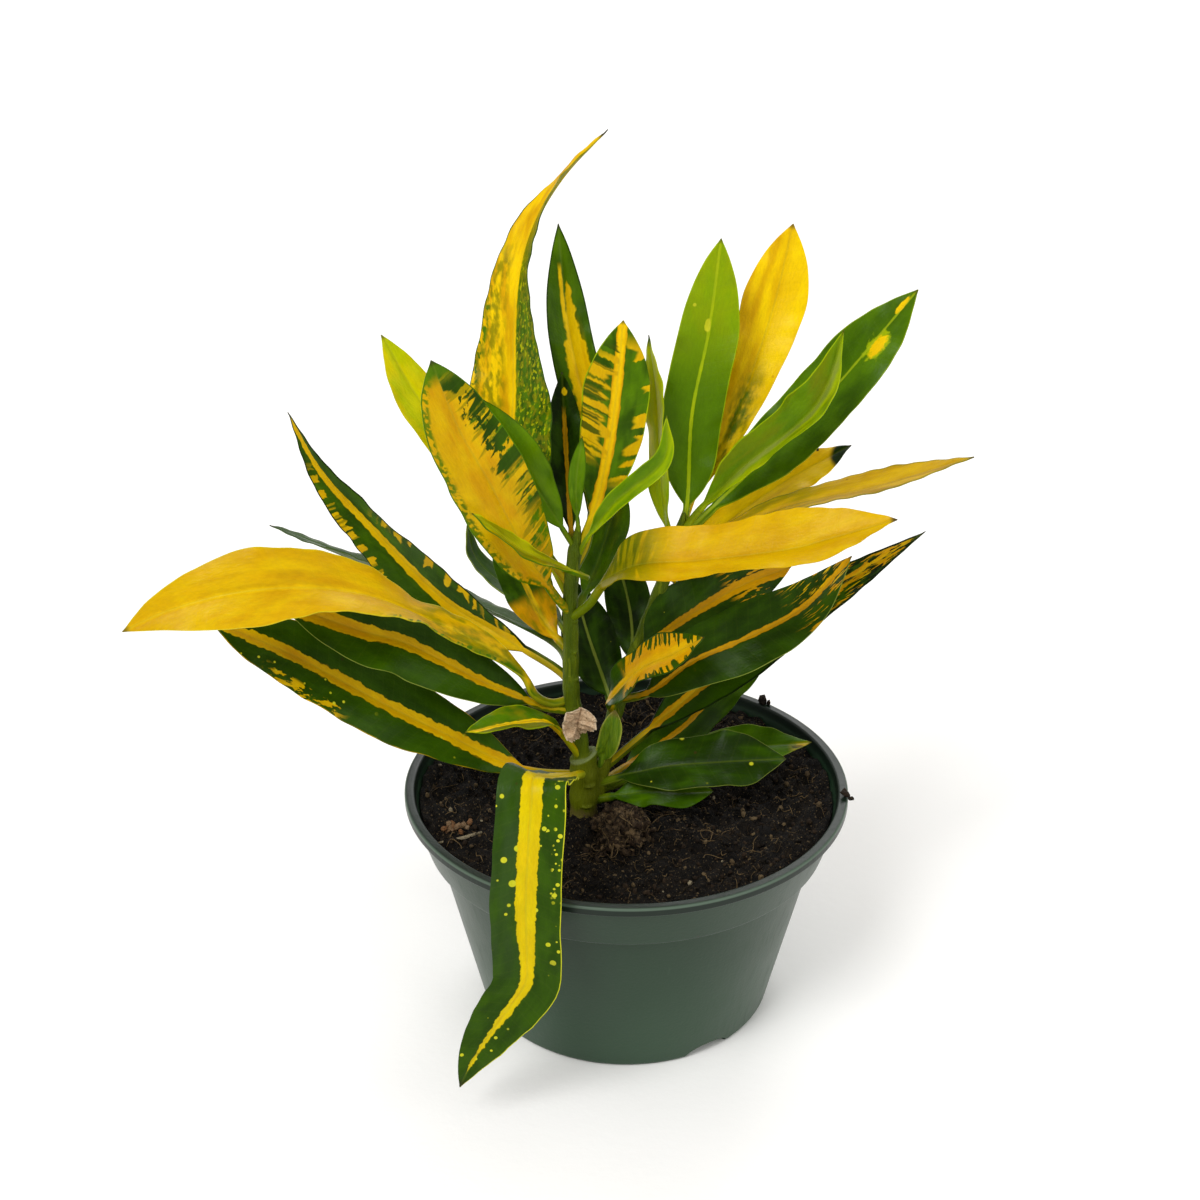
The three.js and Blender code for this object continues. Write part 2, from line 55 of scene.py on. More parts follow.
# The studio, in metres and watts. Each soft light has its place, its width and its power, and shines at
# the plant's middle. The room is white and lights the plant a little from all sides.
SOFTBOXES = {
    "key_softbox": ((-1.7, -2.3, 3.4), 1.8, 120.0),
    "fill_softbox": ((2.6, -1.4, 1.8), 2.2, 26.0),
    "back_softbox": ((0.5, 3.0, 2.7), 2.2, 45.0),
}
PLANT_MIDDLE_M = (0, 0, 0.1)
ROOM_COLOUR = (1.0, 0.99, 0.975, 1)
ROOM_STRENGTH = 0.66
FLOOR_HALF_M = 6.0


def add_object(name, data):
    thing = bpy.data.objects.new(name, data)
    bpy.context.scene.collection.objects.link(thing)
    return thing


def add_camera():
    data = bpy.data.cameras.new("camera")
    data.lens = LENS
    data.sensor_width = SENSOR
    data.clip_start = NEAREST_M
    data.clip_end = FARTHEST_M
    camera = add_object("camera", data)
    camera.location = Vector(CAMERA_PLACE) * MM
    camera.rotation_euler = (math.radians(90 - CAMERA_PITCH_DEG), 0, 0)
    bpy.context.scene.camera = camera


def add_softbox(name, place, size, power):
    """A square area light that is turned to the plant."""
    data = bpy.data.lights.new(name, "AREA")
    data.shape = "SQUARE"
    data.size = size
    data.energy = power
    light = add_object(name, data)
    light.location = place
    light.rotation_euler = (Vector(PLANT_MIDDLE_M) - Vector(place)).to_track_quat("-Z", "Y").to_euler()


def add_studio():
    """A white room, a large soft light over the plant's front left, and weaker ones right and behind."""
    scene = bpy.context.scene
    scene.view_settings.view_transform = "Standard"
    world = bpy.data.worlds.new("studio")
    world.use_nodes = True
    backdrop = world.node_tree.nodes["Background"]
    backdrop.inputs["Color"].default_value = ROOM_COLOUR
    backdrop.inputs["Strength"].default_value = ROOM_STRENGTH
    scene.world = world
    for name, (place, size, power) in SOFTBOXES.items():
        add_softbox(name, place, size, power)


class Term:
    """A number that shader nodes work out at each point of a surface."""

    def __init__(self, tree, socket):
        self.tree = tree
        self.socket = socket

    def feed(self, operation, *others):
        node = new_node(self.tree, "Math", dict(enumerate((self, *others))))
        node.operation = operation
        return Term(self.tree, node.outputs[0])

    def __add__(self, other):
        return self.feed("ADD", other)

    def __sub__(self, other):
        return self.feed("SUBTRACT", other)

    def __rsub__(self, other):
        return self * -1 + other

    def __mul__(self, other):
        return self.feed("MULTIPLY", other)

    def __truediv__(self, other):
        return self.feed("DIVIDE", other)

    def __abs__(self):
        return self.feed("ABSOLUTE")

    __radd__ = __add__
    __rmul__ = __mul__

    def step(self, soft):
        """0 where the number is under -soft, 1 where it is over soft, and smooth in between."""
        node = new_node(self.tree, "MapRange", {"Value": self, "From Min": -soft, "From Max": soft})
        node.interpolation_type = "SMOOTHSTEP"
        return Term(self.tree, node.outputs["Result"])


def plug(tree, value, socket):
    value = getattr(value, "socket", value)
    if isinstance(value, bpy.types.NodeSocket):
        tree.links.new(value, socket)
    else:
        socket.default_value = value


def new_node(tree, kind, inputs=None):
    """Adds a shader node. Its inputs, by name or number, get a number, a term or a socket each."""
    node = tree.nodes.new("ShaderNode" + kind)
    for key, value in (inputs or {}).items():
        plug(tree, value, node.inputs[key])
    return node


def tone(red, green, blue):
    """A colour given as 0 to 255 on screen, turned into the shader's linear numbers."""
    shares = [channel / 255 for channel in (red, green, blue)]
    return tuple(((c + 0.055) / 1.055) ** 2.4 if c > 0.04045 else c / 12.92 for c in shares) + (1.0,)


class Surface:
    """A material that is built up in layers, with the nodes kept out of sight."""

    def __init__(self, name):
        self.material = bpy.data.materials.new(name)
        self.material.use_nodes = True
        self.tree = self.material.node_tree
        self.shader = self.tree.nodes["Principled BSDF"]
        self.colour = None

    def spread(self, socket):
        node = new_node(self.tree, "SeparateXYZ", {0: socket})
        return [Term(self.tree, output) for output in node.outputs]

    def field(self, name):
        """The three numbers of a vector that the mesh carries at its points."""
        node = new_node(self.tree, "Attribute")
        node.attribute_name = name
        return self.spread(node.outputs["Vector"])

    @cached_property
    def place(self):
        """Where the point is, in millimetres, in the row frame."""
        node = new_node(self.tree, "TexCoord")
        return [axis * (1 / MM) for axis in self.spread(node.outputs["Object"])]

    def gather(self, x, y, z):
        return new_node(self.tree, "CombineXYZ", {"X": x, "Y": y, "Z": z}).outputs[0]

    def grain(self, x, y, z, detail=2.0):
        """Soft noise between about -1 and 1, with features about one unit across."""
        inputs = {"Vector": self.gather(x, y, z), "Scale": 1.0, "Detail": detail}
        node = new_node(self.tree, "TexNoise", inputs)
        return (Term(self.tree, node.outputs[0]) - 0.5) * 4

    def mottle(self, width, detail=2.0, height=None):
        """Soft noise by place, with features this wide in millimetres, and as high unless height is given."""
        x, y, z = self.place
        return self.grain(x / width, y / width, z / (height or width), detail)

    def cells(self, x, y, z):
        """The distance to the nearest of some scattered points, and a random number for each point."""
        node = new_node(self.tree, "TexVoronoi", {"Vector": self.gather(x, y, z), "Scale": 1.0})
        return Term(self.tree, node.outputs["Distance"]), self.spread(node.outputs["Color"])[0]

    def mixed(self, under, over, mask):
        """Two colours mixed, each a socket, or a tone as 0 to 255 on screen."""
        node = new_node(self.tree, "Mix")
        node.data_type = "RGBA"
        plug(self.tree, mask, node.inputs["Factor"])
        for key, value in (("A", under), ("B", over)):
            plug(self.tree, tone(*value) if isinstance(value, tuple) else value, node.inputs[key])
        return node.outputs["Result"]

    def paint(self, colour, mask=None):
        """Lays a colour over what is there, where the mask is 1."""
        self.colour = colour if mask is None else self.mixed(self.colour, colour, mask)

    def finish(self, roughness, height, depth, gloss=0.5):
        """Joins the layers to the shader. depth is the relief's size in millimetres."""
        bump = new_node(self.tree, "Bump", {"Distance": depth * MM, "Height": height})
        self.shader.inputs["Specular IOR Level"].default_value = gloss
        plug(self.tree, self.colour, self.shader.inputs["Base Color"])
        plug(self.tree, roughness, self.shader.inputs["Roughness"])
        plug(self.tree, bump.outputs["Normal"], self.shader.inputs["Normal"])
        return self.material


def add_piece(name, points, faces, material, node, **fields):
    """Makes a smooth mesh object that stands for a node of the part. Its points carry the fields' vectors."""
    mesh = bpy.data.meshes.new(name)
    mesh.from_pydata((np.asarray(points) * MM).tolist(), [], faces)
    for field, values in fields.items():
        attribute = mesh.attributes.new(field, "FLOAT_VECTOR", "POINT")
        attribute.data.foreach_set("vector", np.asarray(values, np.float32).ravel())
    mesh.shade_smooth()
    mesh.materials.append(material)
    piece = add_object(name, mesh)
    stand_for(piece, node)
    return piece


def stand_for(piece, node):
    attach(piece, "root")
    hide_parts(node)


def follow(points, shares):
    """Places and directions at shares of the length of a smooth curve through the points, and its length."""
    knots = np.array(points, float)
    knots = np.vstack([2 * knots[0] - knots[1], knots, 2 * knots[-1] - knots[-2]])
    step = np.linspace(0, 1, 40, endpoint=False)[:, None]
    spans = []
    for index in range(1, len(knots) - 2):
        before, start, end, after = knots[index - 1:index + 3]
        leaving = (end - before) / 2
        arriving = (after - start) / 2
        span = (2 * step**3 - 3 * step**2 + 1) * start + (step**3 - 2 * step**2 + step) * leaving
        spans.append(span + (3 * step**2 - 2 * step**3) * end + (step**3 - step**2) * arriving)
    line = np.vstack([*spans, knots[-2:-1]])
    run = np.concatenate([[0], np.cumsum(np.linalg.norm(np.diff(line, axis=0), axis=1))])
    slope = np.gradient(line, run, axis=0)
    wanted = np.asarray(shares) * run[-1]
    places = np.stack([np.interp(wanted, run, axis) for axis in line.T], 1)
    directions = np.stack([np.interp(wanted, run, axis) for axis in slope.T], 1)
    return places, unit(directions), run[-1]


def unit(vectors):
    return vectors / np.linalg.norm(vectors, axis=1, keepdims=True)


def lerp(start, end, share):
    return start + (end - start) * share


def skin_faces(rings, sides):
    """Faces of a closed skin over rings of points."""
    faces = []
    for ring in range(rings - 1):
        for side in range(sides):
            a = ring * sides + side
            b = ring * sides + (side + 1) % sides
            faces.append((a, b, b + sides, a + sides))
    last = (rings - 1) * sides
    faces.append(tuple(reversed(range(sides))))
    faces.append(tuple(range(last, last + sides)))
    return faces


def round_about(sides):
    """Even angles round a circle."""
    return np.linspace(0, 2 * math.pi, sides, endpoint=False)


def rope(points, radii, sides):
    """A round strand along a curve: its points, ring by ring. radii are evenly spaced along it."""
    share = np.linspace(0, 1, len(radii))
    centre, along, _ = follow(points, share)
    right = unit(np.cross((0.02, 1, 0.03), along))
    back = np.cross(along, right)
    angle = round_about(sides)
    ring = np.cos(angle)[None, :, None] * right[:, None] + np.sin(angle)[None, :, None] * back[:, None]
    return (centre[:, None] + ring * np.asarray(radii)[:, None, None]).reshape(-1, 3)


# How blades are made. The columns of points stand at these shares of the half width: they are close
# together at the midrib and at the margin.
BLADE_STATIONS = 96
COLUMNS = (0, 0.03, 0.08, 0.15, 0.24, 0.34, 0.45, 0.56, 0.67, 0.78, 0.87, 0.94, 0.98, 1)
STALK_RADIUS = 1.1
TIP_HALF_WIDTH = 0.12
MARGIN_HALF = 0.11
BODY_HALF = 0.2
# The groove over the midrib and the ridge under it: their depth and their reach to each side. The ridge's
# depth is a share of the stalk's radius.
GROOVE = 0.16
GROOVE_REACH = 0.45
RIDGE = 0.85
RIDGE_REACH = 0.9
# The stalk has turned flat at this share of the blade. Its foot swells by this share of its radius, over
# this length.
FLAT_SHARE = 0.15
FOOT_SWELL = 0.35
FOOT_LENGTH = 1.6
# The margins sway by this share of the half width, in bends this long, and crimp in shorter bends.
SWAY = 0.05
SWAY_LENGTH = 9
CRIMP_LENGTH = 5.5
# Low ridges run out from the midrib with the side veins: their height, their pitch and how far they lean.
QUILT_HEIGHT = 0.1
QUILT_PITCH = 6
QUILT_LEAN = 0.5
# A leaf's shape where its own row says nothing else. stalk is the stalk's share of the whole length, fold
# is in degrees, slim is the stalk's share of the usual radius, widest is the share of the blade where it is
# widest, base and tip say how blunt its ends are, waves is how many waves the margins have, wave and crimp
# are the heights of the waves and of the crimping, and faces says where the upper side looks.
USUAL_LEAF = dict(
    stalk=0.14, fold=12, slim=1, widest=0.58, base=2.3, tip=2, waves=2, wave=1, crimp=0.9,
    faces=[(0, -0.9, 0.4)],
)


def blade_share(along, widest, base, tip):
    """The share of a blade's greatest width at a share of its length, for a blade widest at `widest`.

    The higher the powers base and tip are, the blunter those ends are.
    """
    before = 1 - np.clip(1 - along / widest, 0, 1) ** base
    after = 1 - np.clip((along - widest) / (1 - widest), 0, 1) ** tip
    return np.where(along < widest, before, after)


def wobble(run, side, seed, length):
    """Slow random numbers along a margin, with bends about this long."""
    return np.array([noise.noise(Vector((at / length, 9.1 * side, seed))) for at in run])


def both_margins(across, run, row, seed, length):
    """Slow random numbers of the nearer margin, for each point of a blade. Each row has its own numbers."""
    left, right = (wobble(run, side, seed, length)[:, None] for side in (-row, row))
    return np.where(across < 0, left, right)


def blade(leaf, seed, crumple=0.0):
    """One leaf: a round stalk that flattens into a folded, waved blade with a midrib under it.

    rib is the route of the midrib from the stem to the tip, and faces says where the upper side looks, at
    even steps from the stalk to the tip. Gives points and faces, then for each point its place on the blade
    and its side, and last the blade's length without the stalk. The place is from -1 to 1 across the blade,
    the share of the way along it, and the half width there. The side is 1 for the underside, else 0.
    """
    leaf = {**USUAL_LEAF, **leaf}
    share = np.linspace(0, 1, BLADE_STATIONS + 1)
    centre, along, length = follow(leaf["rib"], share)
    run = share * length
    looks = np.array(leaf["faces"], float)
    steps = np.linspace(0, 1, len(looks))
    up = np.stack([np.interp(share, steps, axis) for axis in looks.T], 1)
    up = unit(up - (up * along).sum(1, keepdims=True) * along)
    side = np.cross(along, up)

    stalk = leaf["stalk"]
    fold = math.radians(leaf["fold"])
    stalk_radius = STALK_RADIUS * leaf["slim"]
    place = (share - stalk) / (1 - stalk)
    on_blade = np.clip(place, 0, 1)
    flat = np.clip(on_blade / FLAT_SHARE, 0, 1)
    shape = blade_share(on_blade, leaf["widest"], leaf["base"], leaf["tip"])
    half = np.maximum(leaf["width"] / 2 * shape, lerp(stalk_radius, TIP_HALF_WIDTH, flat))
    foot = 1 + FOOT_SWELL * np.exp(-((run / FOOT_LENGTH) ** 2))

    across = np.array([-share for share in reversed(COLUMNS[1:])] + list(COLUMNS))[None]
    reach = abs(across)
    half, flat, place, on_blade, foot = (row[:, None] for row in (half, flat, place, on_blade, foot))
    stretch = 1 + SWAY * flat * both_margins(across, run, 1, seed, SWAY_LENGTH)
    fine = both_margins(across, run, 2, seed, CRIMP_LENGTH)
    swing = np.sin(across + 2 * math.pi * leaf["waves"] * on_blade)
    ripple = (leaf["wave"] * swing + leaf["crimp"] * fine) * flat * reach**2
    from_rib = across * half
    sideways = from_rib * stretch * np.cos(fold * flat)
    lift = reach * half * np.sin(fold * flat) + ripple * np.minimum(1, half / 6)
    quilt = np.sin(2 * math.pi * (run[:, None] - QUILT_LEAN * abs(from_rib)) / QUILT_PITCH)
    lift += QUILT_HEIGHT * flat * quilt * reach
    if crumple:
        folds = [[noise.fractal(Vector((at, 0.9 * x, seed)), 0.8, 2.2, 3) for x in across[0]] for at in run]
        lift += crumple * np.array(folds) * flat
    round_ = np.sqrt(1 - reach**2)
    body = MARGIN_HALF + (BODY_HALF - MARGIN_HALF) * round_
    bar = MARGIN_HALF + (stalk_radius * foot - MARGIN_HALF) * round_
    ridge = RIDGE * stalk_radius * (1 - on_blade) ** 0.6 * np.exp(-((from_rib / RIDGE_REACH) ** 2))
    over = lerp(bar, body - GROOVE * np.exp(-((from_rib / GROOVE_REACH) ** 2)), flat)
    under = lerp(bar, body + ridge, flat)

    middle = centre[:, None] + side[:, None] * sideways[:, :, None]
    upper = middle + up[:, None] * (lift + over)[:, :, None]
    lower = middle + up[:, None] * (lift - under)[:, :, None]
    points = np.concatenate([upper, lower[:, ::-1]], 1)
    marks = np.stack(np.broadcast_arrays(across, place, half), 2)
    marks = np.concatenate([marks, marks[:, ::-1]], 1)
    ends = np.zeros(marks.shape)
    ends[:, across.shape[1]:, 0] = 1
    faces = skin_faces(len(share), points.shape[1])
    return points.reshape(-1, 3), faces, marks.reshape(-1, 3), ends.reshape(-1, 3), length * (1 - stalk)


# The pot, with the driving dimensions of the part. AXIS_RADIUS is the small hole that turned forms leave
# round their axis, which their end faces close.
POT_HEIGHT = 62
RIM_RADIUS = 57.5
LIP_WIDTH = 2.5
LIP_DEPTH = 2.4
COLLAR_HEIGHT = 14
COLLAR_TOP_RADIUS = 56
COLLAR_FOOT_RADIUS = 52.2
COLLAR_STEP = 1.8
BODY_TOP_RADIUS = 49.4
BASE_RADIUS = 38.5
WALL = 1.6
FLOOR = 1.8
COLLAR_FOOT = POT_HEIGHT - COLLAR_HEIGHT
LIP_FOOT = POT_HEIGHT - LIP_DEPTH
BASE_ROUNDING = 1.4
AXIS_RADIUS = 0.4
SHARP_DEG = 40
POT_SIDES = 200
NOTCH_COUNT = 4
FIRST_NOTCH_DEG = -57
NOTCH_RADII = (4.6, 6.6, 3)


def rounded(corners, steps=6, guard=0.5):
    """A half section with its corners rounded. Each corner is a radius, a height and its rounding."""
    section = [np.array(corners[0][:2], float)]
    for before, corner, after in zip(corners, corners[1:], corners[2:]):
        here = np.array(corner[:2], float)
        back = np.array(before[:2]) - here
        ahead = np.array(after[:2]) - here
        back_length = np.linalg.norm(back)
        ahead_length = np.linalg.norm(ahead)
        back = back / back_length
        ahead = ahead / ahead_length
        turn = math.acos(np.clip(back @ ahead, -1, 1))
        cut = min(corner[2] / math.tan(turn / 2), 0.45 * back_length, 0.45 * ahead_length)
        if back_length > 4 * guard:
            section.append(here + back * (cut + guard))
        for step in range(steps + 1):
            share = step / steps
            section.append(here + back * cut * (1 - share) ** 2 + ahead * cut * share**2)
        if ahead_length > 4 * guard:
            section.append(here + ahead * (cut + guard))
    section.append(np.array(corners[-1][:2], float))
    return section


def pot_section():
    """The pot's wall as a half section, from the axis under the floor, round the rim and back."""
    inner = RIM_RADIUS - LIP_WIDTH
    return rounded([
        (AXIS_RADIUS, 0, 0),
        (BASE_RADIUS, 0, BASE_ROUNDING),
        (BODY_TOP_RADIUS, COLLAR_FOOT - COLLAR_STEP, 1.2),
        (COLLAR_FOOT_RADIUS, COLLAR_FOOT, 1.0),
        (COLLAR_TOP_RADIUS, LIP_FOOT, 0.3),
        (RIM_RADIUS, LIP_FOOT, 0.45),
        (RIM_RADIUS, POT_HEIGHT, 0.7),
        (inner, POT_HEIGHT, 0.7),
        (COLLAR_TOP_RADIUS - WALL, LIP_FOOT, 0.4),
        (COLLAR_FOOT_RADIUS - WALL, COLLAR_FOOT, 1.0),
        (BODY_TOP_RADIUS - WALL, COLLAR_FOOT - COLLAR_STEP, 1.0),
        (BASE_RADIUS - WALL, FLOOR, BASE_ROUNDING),
        (AXIS_RADIUS, FLOOR, 0),
    ])


def turned(section, sides):
    """Points of a half section turned about the upright axis, ring by ring."""
    angle = round_about(sides)
    rings = [
        np.stack([radius * np.cos(angle), radius * np.sin(angle), np.full(sides, float(height))], 1)
        for radius, height in section
    ]
    return np.concatenate(rings)


def ball(divisions):
    """Points and faces of a round form, as a start for a crumb or a lump."""
    form = bmesh.new()
    bmesh.ops.create_icosphere(form, subdivisions=divisions, radius=1)
    points = np.array([vertex.co[:] for vertex in form.verts])
    faces = [tuple(vertex.index for vertex in face.verts) for face in form.faces]
    form.free()
    return points, faces


def spin(angle):
    """The turn about the upright axis."""
    cos, sin = math.cos(angle), math.sin(angle)
    return np.array([[cos, -sin, 0], [sin, cos, 0], [0, 0, 1]])


def lean(angle):
    """The turn about the y axis."""
    cos, sin = math.cos(angle), math.sin(angle)
    return np.array([[cos, 0, sin], [0, 1, 0], [-sin, 0, cos]])


def settle(piece):
    """Applies a piece's modifiers to its mesh."""
    ready = piece.evaluated_get(bpy.context.evaluated_depsgraph_get())
    mesh = bpy.data.meshes.new_from_object(ready)
    piece.modifiers.clear()
    piece.data = mesh


def pot_material():
    surface = Surface("moulded_plastic")
    x, y, z = surface.place
    surface.paint((34, 56, 38))
    surface.paint((42, 63, 45), surface.mottle(22, height=30).step(1.2) * 0.5)
    # Painted shade: the pot is darker towards its top.
    surface.paint((26, 44, 30), (z - POT_HEIGHT / 2).step(POT_HEIGHT / 2) * 0.35)
    # Painted light: the pot is lighter towards its foot, where the floor throws light back.
    surface.paint((50, 74, 54), (POT_HEIGHT / 3 - z).step(POT_HEIGHT / 3) * 0.6)
    streak = surface.mottle(1.6, 3.0, height=34)
    surface.paint((62, 82, 64), (streak - 0.9).step(0.5) * 0.3)
    scuff = surface.mottle(14, 4.0, height=2.5)
    surface.paint((92, 106, 90), (scuff - 1.3).step(0.2) * 0.25)
    radius = (x * x + y * y).feed("POWER", 0.5)
    # Painted shade: the top of the lip is painted darker.
    lip_shade = (z - LIP_FOOT).step(0.5) * (radius - COLLAR_TOP_RADIUS + WALL).step(0.3)
    surface.paint((14, 26, 18), lip_shade * 0.9)
    # Painted highlight: a lighter line round the outer edge of the rim's top.
    edge = (0.3 - abs(z - POT_HEIGHT + 0.35)).step(0.2) * (radius - RIM_RADIUS + 0.5).step(0.2)
    surface.paint((104, 124, 106), edge * 0.5)
    dust = surface.mottle(3, 5.0)
    surface.paint((98, 90, 74), (dust - 0.9).step(0.3) * (6 - z).step(5) * 0.5)
    near, pick = surface.cells(x / 6, y / 6, z / 6)
    surface.paint((52, 42, 32), ((pick - 0.6) * 0.2 - near).step(0.03) * (z - 44).step(10) * 0.8)
    roughness = surface.mottle(9, 4.0, height=14) * 0.035 + (streak - 0.6).step(0.5) * 0.08 + 0.34
    relief = surface.mottle(0.8, 3.0) * 0.3 + streak * 0.25
    return surface.finish(roughness, relief, 0.03, 0.25)


def add_pot():
    section = pot_section()
    points = turned(section, POT_SIDES)
    faces = skin_faces(len(section), POT_SIDES)
    pot = add_piece("nursery_pot", points, faces, pot_material(), "pot")
    cutter = add_object("notch_cutter", notch_mesh())
    cut = pot.modifiers.new("notches", "BOOLEAN")
    cut.object = cutter
    cut.solver = "EXACT"
    settle(pot)
    pot.data.set_sharp_from_angle(angle=math.radians(SHARP_DEG))
    bpy.data.objects.remove(cutter)


def notch_mesh():
    """The drainage notches, as the rounded forms that bite into the corner of wall and floor."""
    form, form_faces = ball(4)
    points = []
    faces = []
    for index in range(NOTCH_COUNT):
        turn = spin(math.radians(FIRST_NOTCH_DEG + 360 / NOTCH_COUNT * index))
        first = len(points) * len(form)
        points.append((form * NOTCH_RADII + (BASE_RADIUS, 0, 0)) @ turn.T)
        faces += [tuple(first + corner for corner in face) for face in form_faces]
    mesh = bpy.data.meshes.new("notches")
    mesh.from_pydata((np.concatenate(points) * MM).tolist(), [], faces)
    return mesh


# The soil fills the pot. Crumbs, fibres and a few pale bits lie on its uneven top, with bits of bark and a
# short stick on the left, and a few crumbs lie on the rim. A size or length that is drawn at random has a
# least value, what may come on top of it, and a power: the higher that is, the fewer are large. A spread
# has a part along x and a part along y.
SOIL_SEED = 31
SOIL_TOP = 59
SOIL_DISH = 2.6
CLEARANCE = 0.3
SOIL_RADIUS = 53.6
SOIL_RINGS = 110
SOIL_SIDES = 240
SOIL_SHOULDER = 2.4
CRUMBS = 3600
CRUMB_SIZE = (0.4, 1.7, 4)
CRUMB_MARGIN = 1.5
PALE_EVERY = 150
FIBRES = 420
FIBRE_LENGTH = (2, 6, 2)
FIBRE_RADIUS = (0.06, 0.16)
FIBRE_PROFILE = (0.35, 0.8, 1, 1.05, 1, 0.95, 1, 0.9, 0.75, 0.3)
FIBRE_SIDES = 5
FIBRE_MARGIN = 3
# Each crumb on the rim: its radius on the pot, its turn in degrees and its size.
RIM_CRUMBS = ((56.3, 47, 3.6), (56.6, 45, 2.4), (57, -8, 3.2), (58.2, -9.5, 2.2), (56.4, -6.2, 2))
BARK_PLACE = (-43.3, -16.9)
BARK_CRUMBS = 16
BARK_SPREAD = (1.8, 1.5)
BARK_SIZE = (1, 1.8, 1)
STICK_PATH = ((-47.5, -23.6), (-42, -22), (-36.5, -20.4))
STICK_RADII = (0.25, 0.45, 0.5, 0.5, 0.45, 0.25)
STICK_SIDES = 8
STICK_LIFT = 0.8

# The kinds of bit in a heap, which its material tells apart, and the tint of what has no tint of its own.
MASS, CRUMB, STRAND, PALE, BARK = range(5)
PLAIN = 0.5


def soil_height(x, y):
    """The soil is dished and crumbly. SOIL_TOP is the height of its edge."""
    dish = SOIL_DISH * ((x * x + y * y) / RIM_RADIUS**2 - 1)
    lumps = 0.9 * math.sin(0.31 * x + 1.1) * math.cos(0.27 * y)
    grains = 0.5 * math.sin(0.83 * x - 0.61 * y) + 0.3 * math.cos(1.1 * y + 0.7 * x)
    crumbs = 1.2 * noise.fractal(Vector((x / 2.6, y / 2.6, 1.7)), 0.75, 2.2, 5)
    return SOIL_TOP - 0.2 + dish + lumps + grains + crumbs


class Heap:
    """Many small forms gathered into one piece. Each point carries its kind and its own tint."""

    def __init__(self):
        self.points = []
        self.faces = []
        self.marks = []
        self.count = 0

    def add(self, points, faces, kind, tint):
        self.faces += [tuple(self.count + corner for corner in face) for face in faces]
        self.points.append(points)
        self.marks.append(np.tile((kind, tint, 0.0), (len(points), 1)))
        self.count += len(points)

    def strand(self, path, radii, sides, kind, tint):
        self.add(rope(path, radii, sides), skin_faces(len(radii), sides), kind, tint)


def add_heap(name, heap, material, node):
    add_piece(name, np.concatenate(heap.points), heap.faces, material, node, bit=np.concatenate(heap.marks))


def of_kind(kind, first):
    """1 on the bits of this kind and of the kinds after it."""
    return (kind - (first - 0.5)).step(0.1)


def anywhere(draw, radius):
    """A random place on a disc round the axis."""
    away = radius * math.sqrt(draw.random())
    angle = draw.random() * math.tau
    return away * math.cos(angle), away * math.sin(angle)


def about(draw, place, spread):
    """A random place about a place."""
    return [middle + draw.gauss(0, away) for middle, away in zip(place, spread)]


def uneven(draw, least, more, power):
    """A random size. The higher the power, the more often it is small."""
    return least + more * draw.random() ** power


def crumb(heap, form, place, size, draw, kind):
    """One uneven crumb about this big, flattened and turned at random."""
    points, faces = form
    seat = Vector([draw.random() * 90 for _ in range(3)])
    swell = np.array([1 + 0.55 * noise.noise(Vector(point) * 1.4 + seat) for point in points])
    flat = (1, 0.55 + 0.4 * draw.random(), 0.4 + 0.4 * draw.random())
    turn = spin(draw.random() * math.tau) @ lean(draw.random() * math.tau)
    body = points * swell[:, None] * flat * size / 2
    heap.add(body @ turn.T + place, faces, kind, draw.random())


def drop(heap, form, place, lift, size, draw, kind, height=soil_height):
    """One crumb on a surface, with its middle this share of its size over it."""
    x, y = place
    crumb(heap, form, (x, y, height(x, y) + lift * size), size, draw, kind)


def fibre(heap, start, length, radius, draw, height):
    """One thin strand that lies on a surface in a loose curve."""
    heading = draw.random() * math.tau
    turn = draw.uniform(-0.7, 0.7)
    x, y = start
    path = []
    for _ in range(5):
        path.append((x, y, height(x, y) + radius + draw.random() * 0.7))
        x += length / 4 * math.cos(heading)
        y += length / 4 * math.sin(heading)
        heading += turn + draw.uniform(-0.5, 0.5)
    if math.hypot(x, y) > SOIL_RADIUS - 1:
        return
    radii = radius * np.array(FIBRE_PROFILE)
    heap.strand(path, radii, FIBRE_SIDES, STRAND, draw.random())


def soil_material():
    surface = Surface("potting_mix")
    kind, tint, _ = surface.field("bit")
    surface.paint((14, 11, 8))
    surface.paint((38, 30, 20), surface.mottle(4, 4.0).step(0.8) * 0.6)
    surface.paint((6, 5, 4), surface.mottle(1.1, 4.0).step(0.5) * 0.9)
    surface.paint((106, 90, 64), (surface.mottle(0.6, 3.0) - 0.6).step(0.15) * 0.7)
    crumbs = of_kind(kind, CRUMB)
    surface.paint((54, 41, 28), crumbs * (tint - 0.45).step(0.3) * 0.8)
    surface.paint((112, 94, 66), crumbs * (tint - 0.85).step(0.06) * 0.8)
    fibres = of_kind(kind, STRAND)
    surface.paint(surface.mixed((36, 28, 18), (112, 92, 62), (tint - 0.5).step(0.4)), fibres)
    surface.paint((150, 138, 112), of_kind(kind, PALE) * 0.85)
    surface.paint((120, 74, 36), of_kind(kind, BARK) * (0.4 + tint * 0.5))
    roughness = surface.mottle(1) * 0.06 + 0.86
    relief = surface.mottle(0.5, 5.0) + surface.mottle(1.8) * 0.6
    return surface.finish(roughness, relief, 0.35, 0.15)


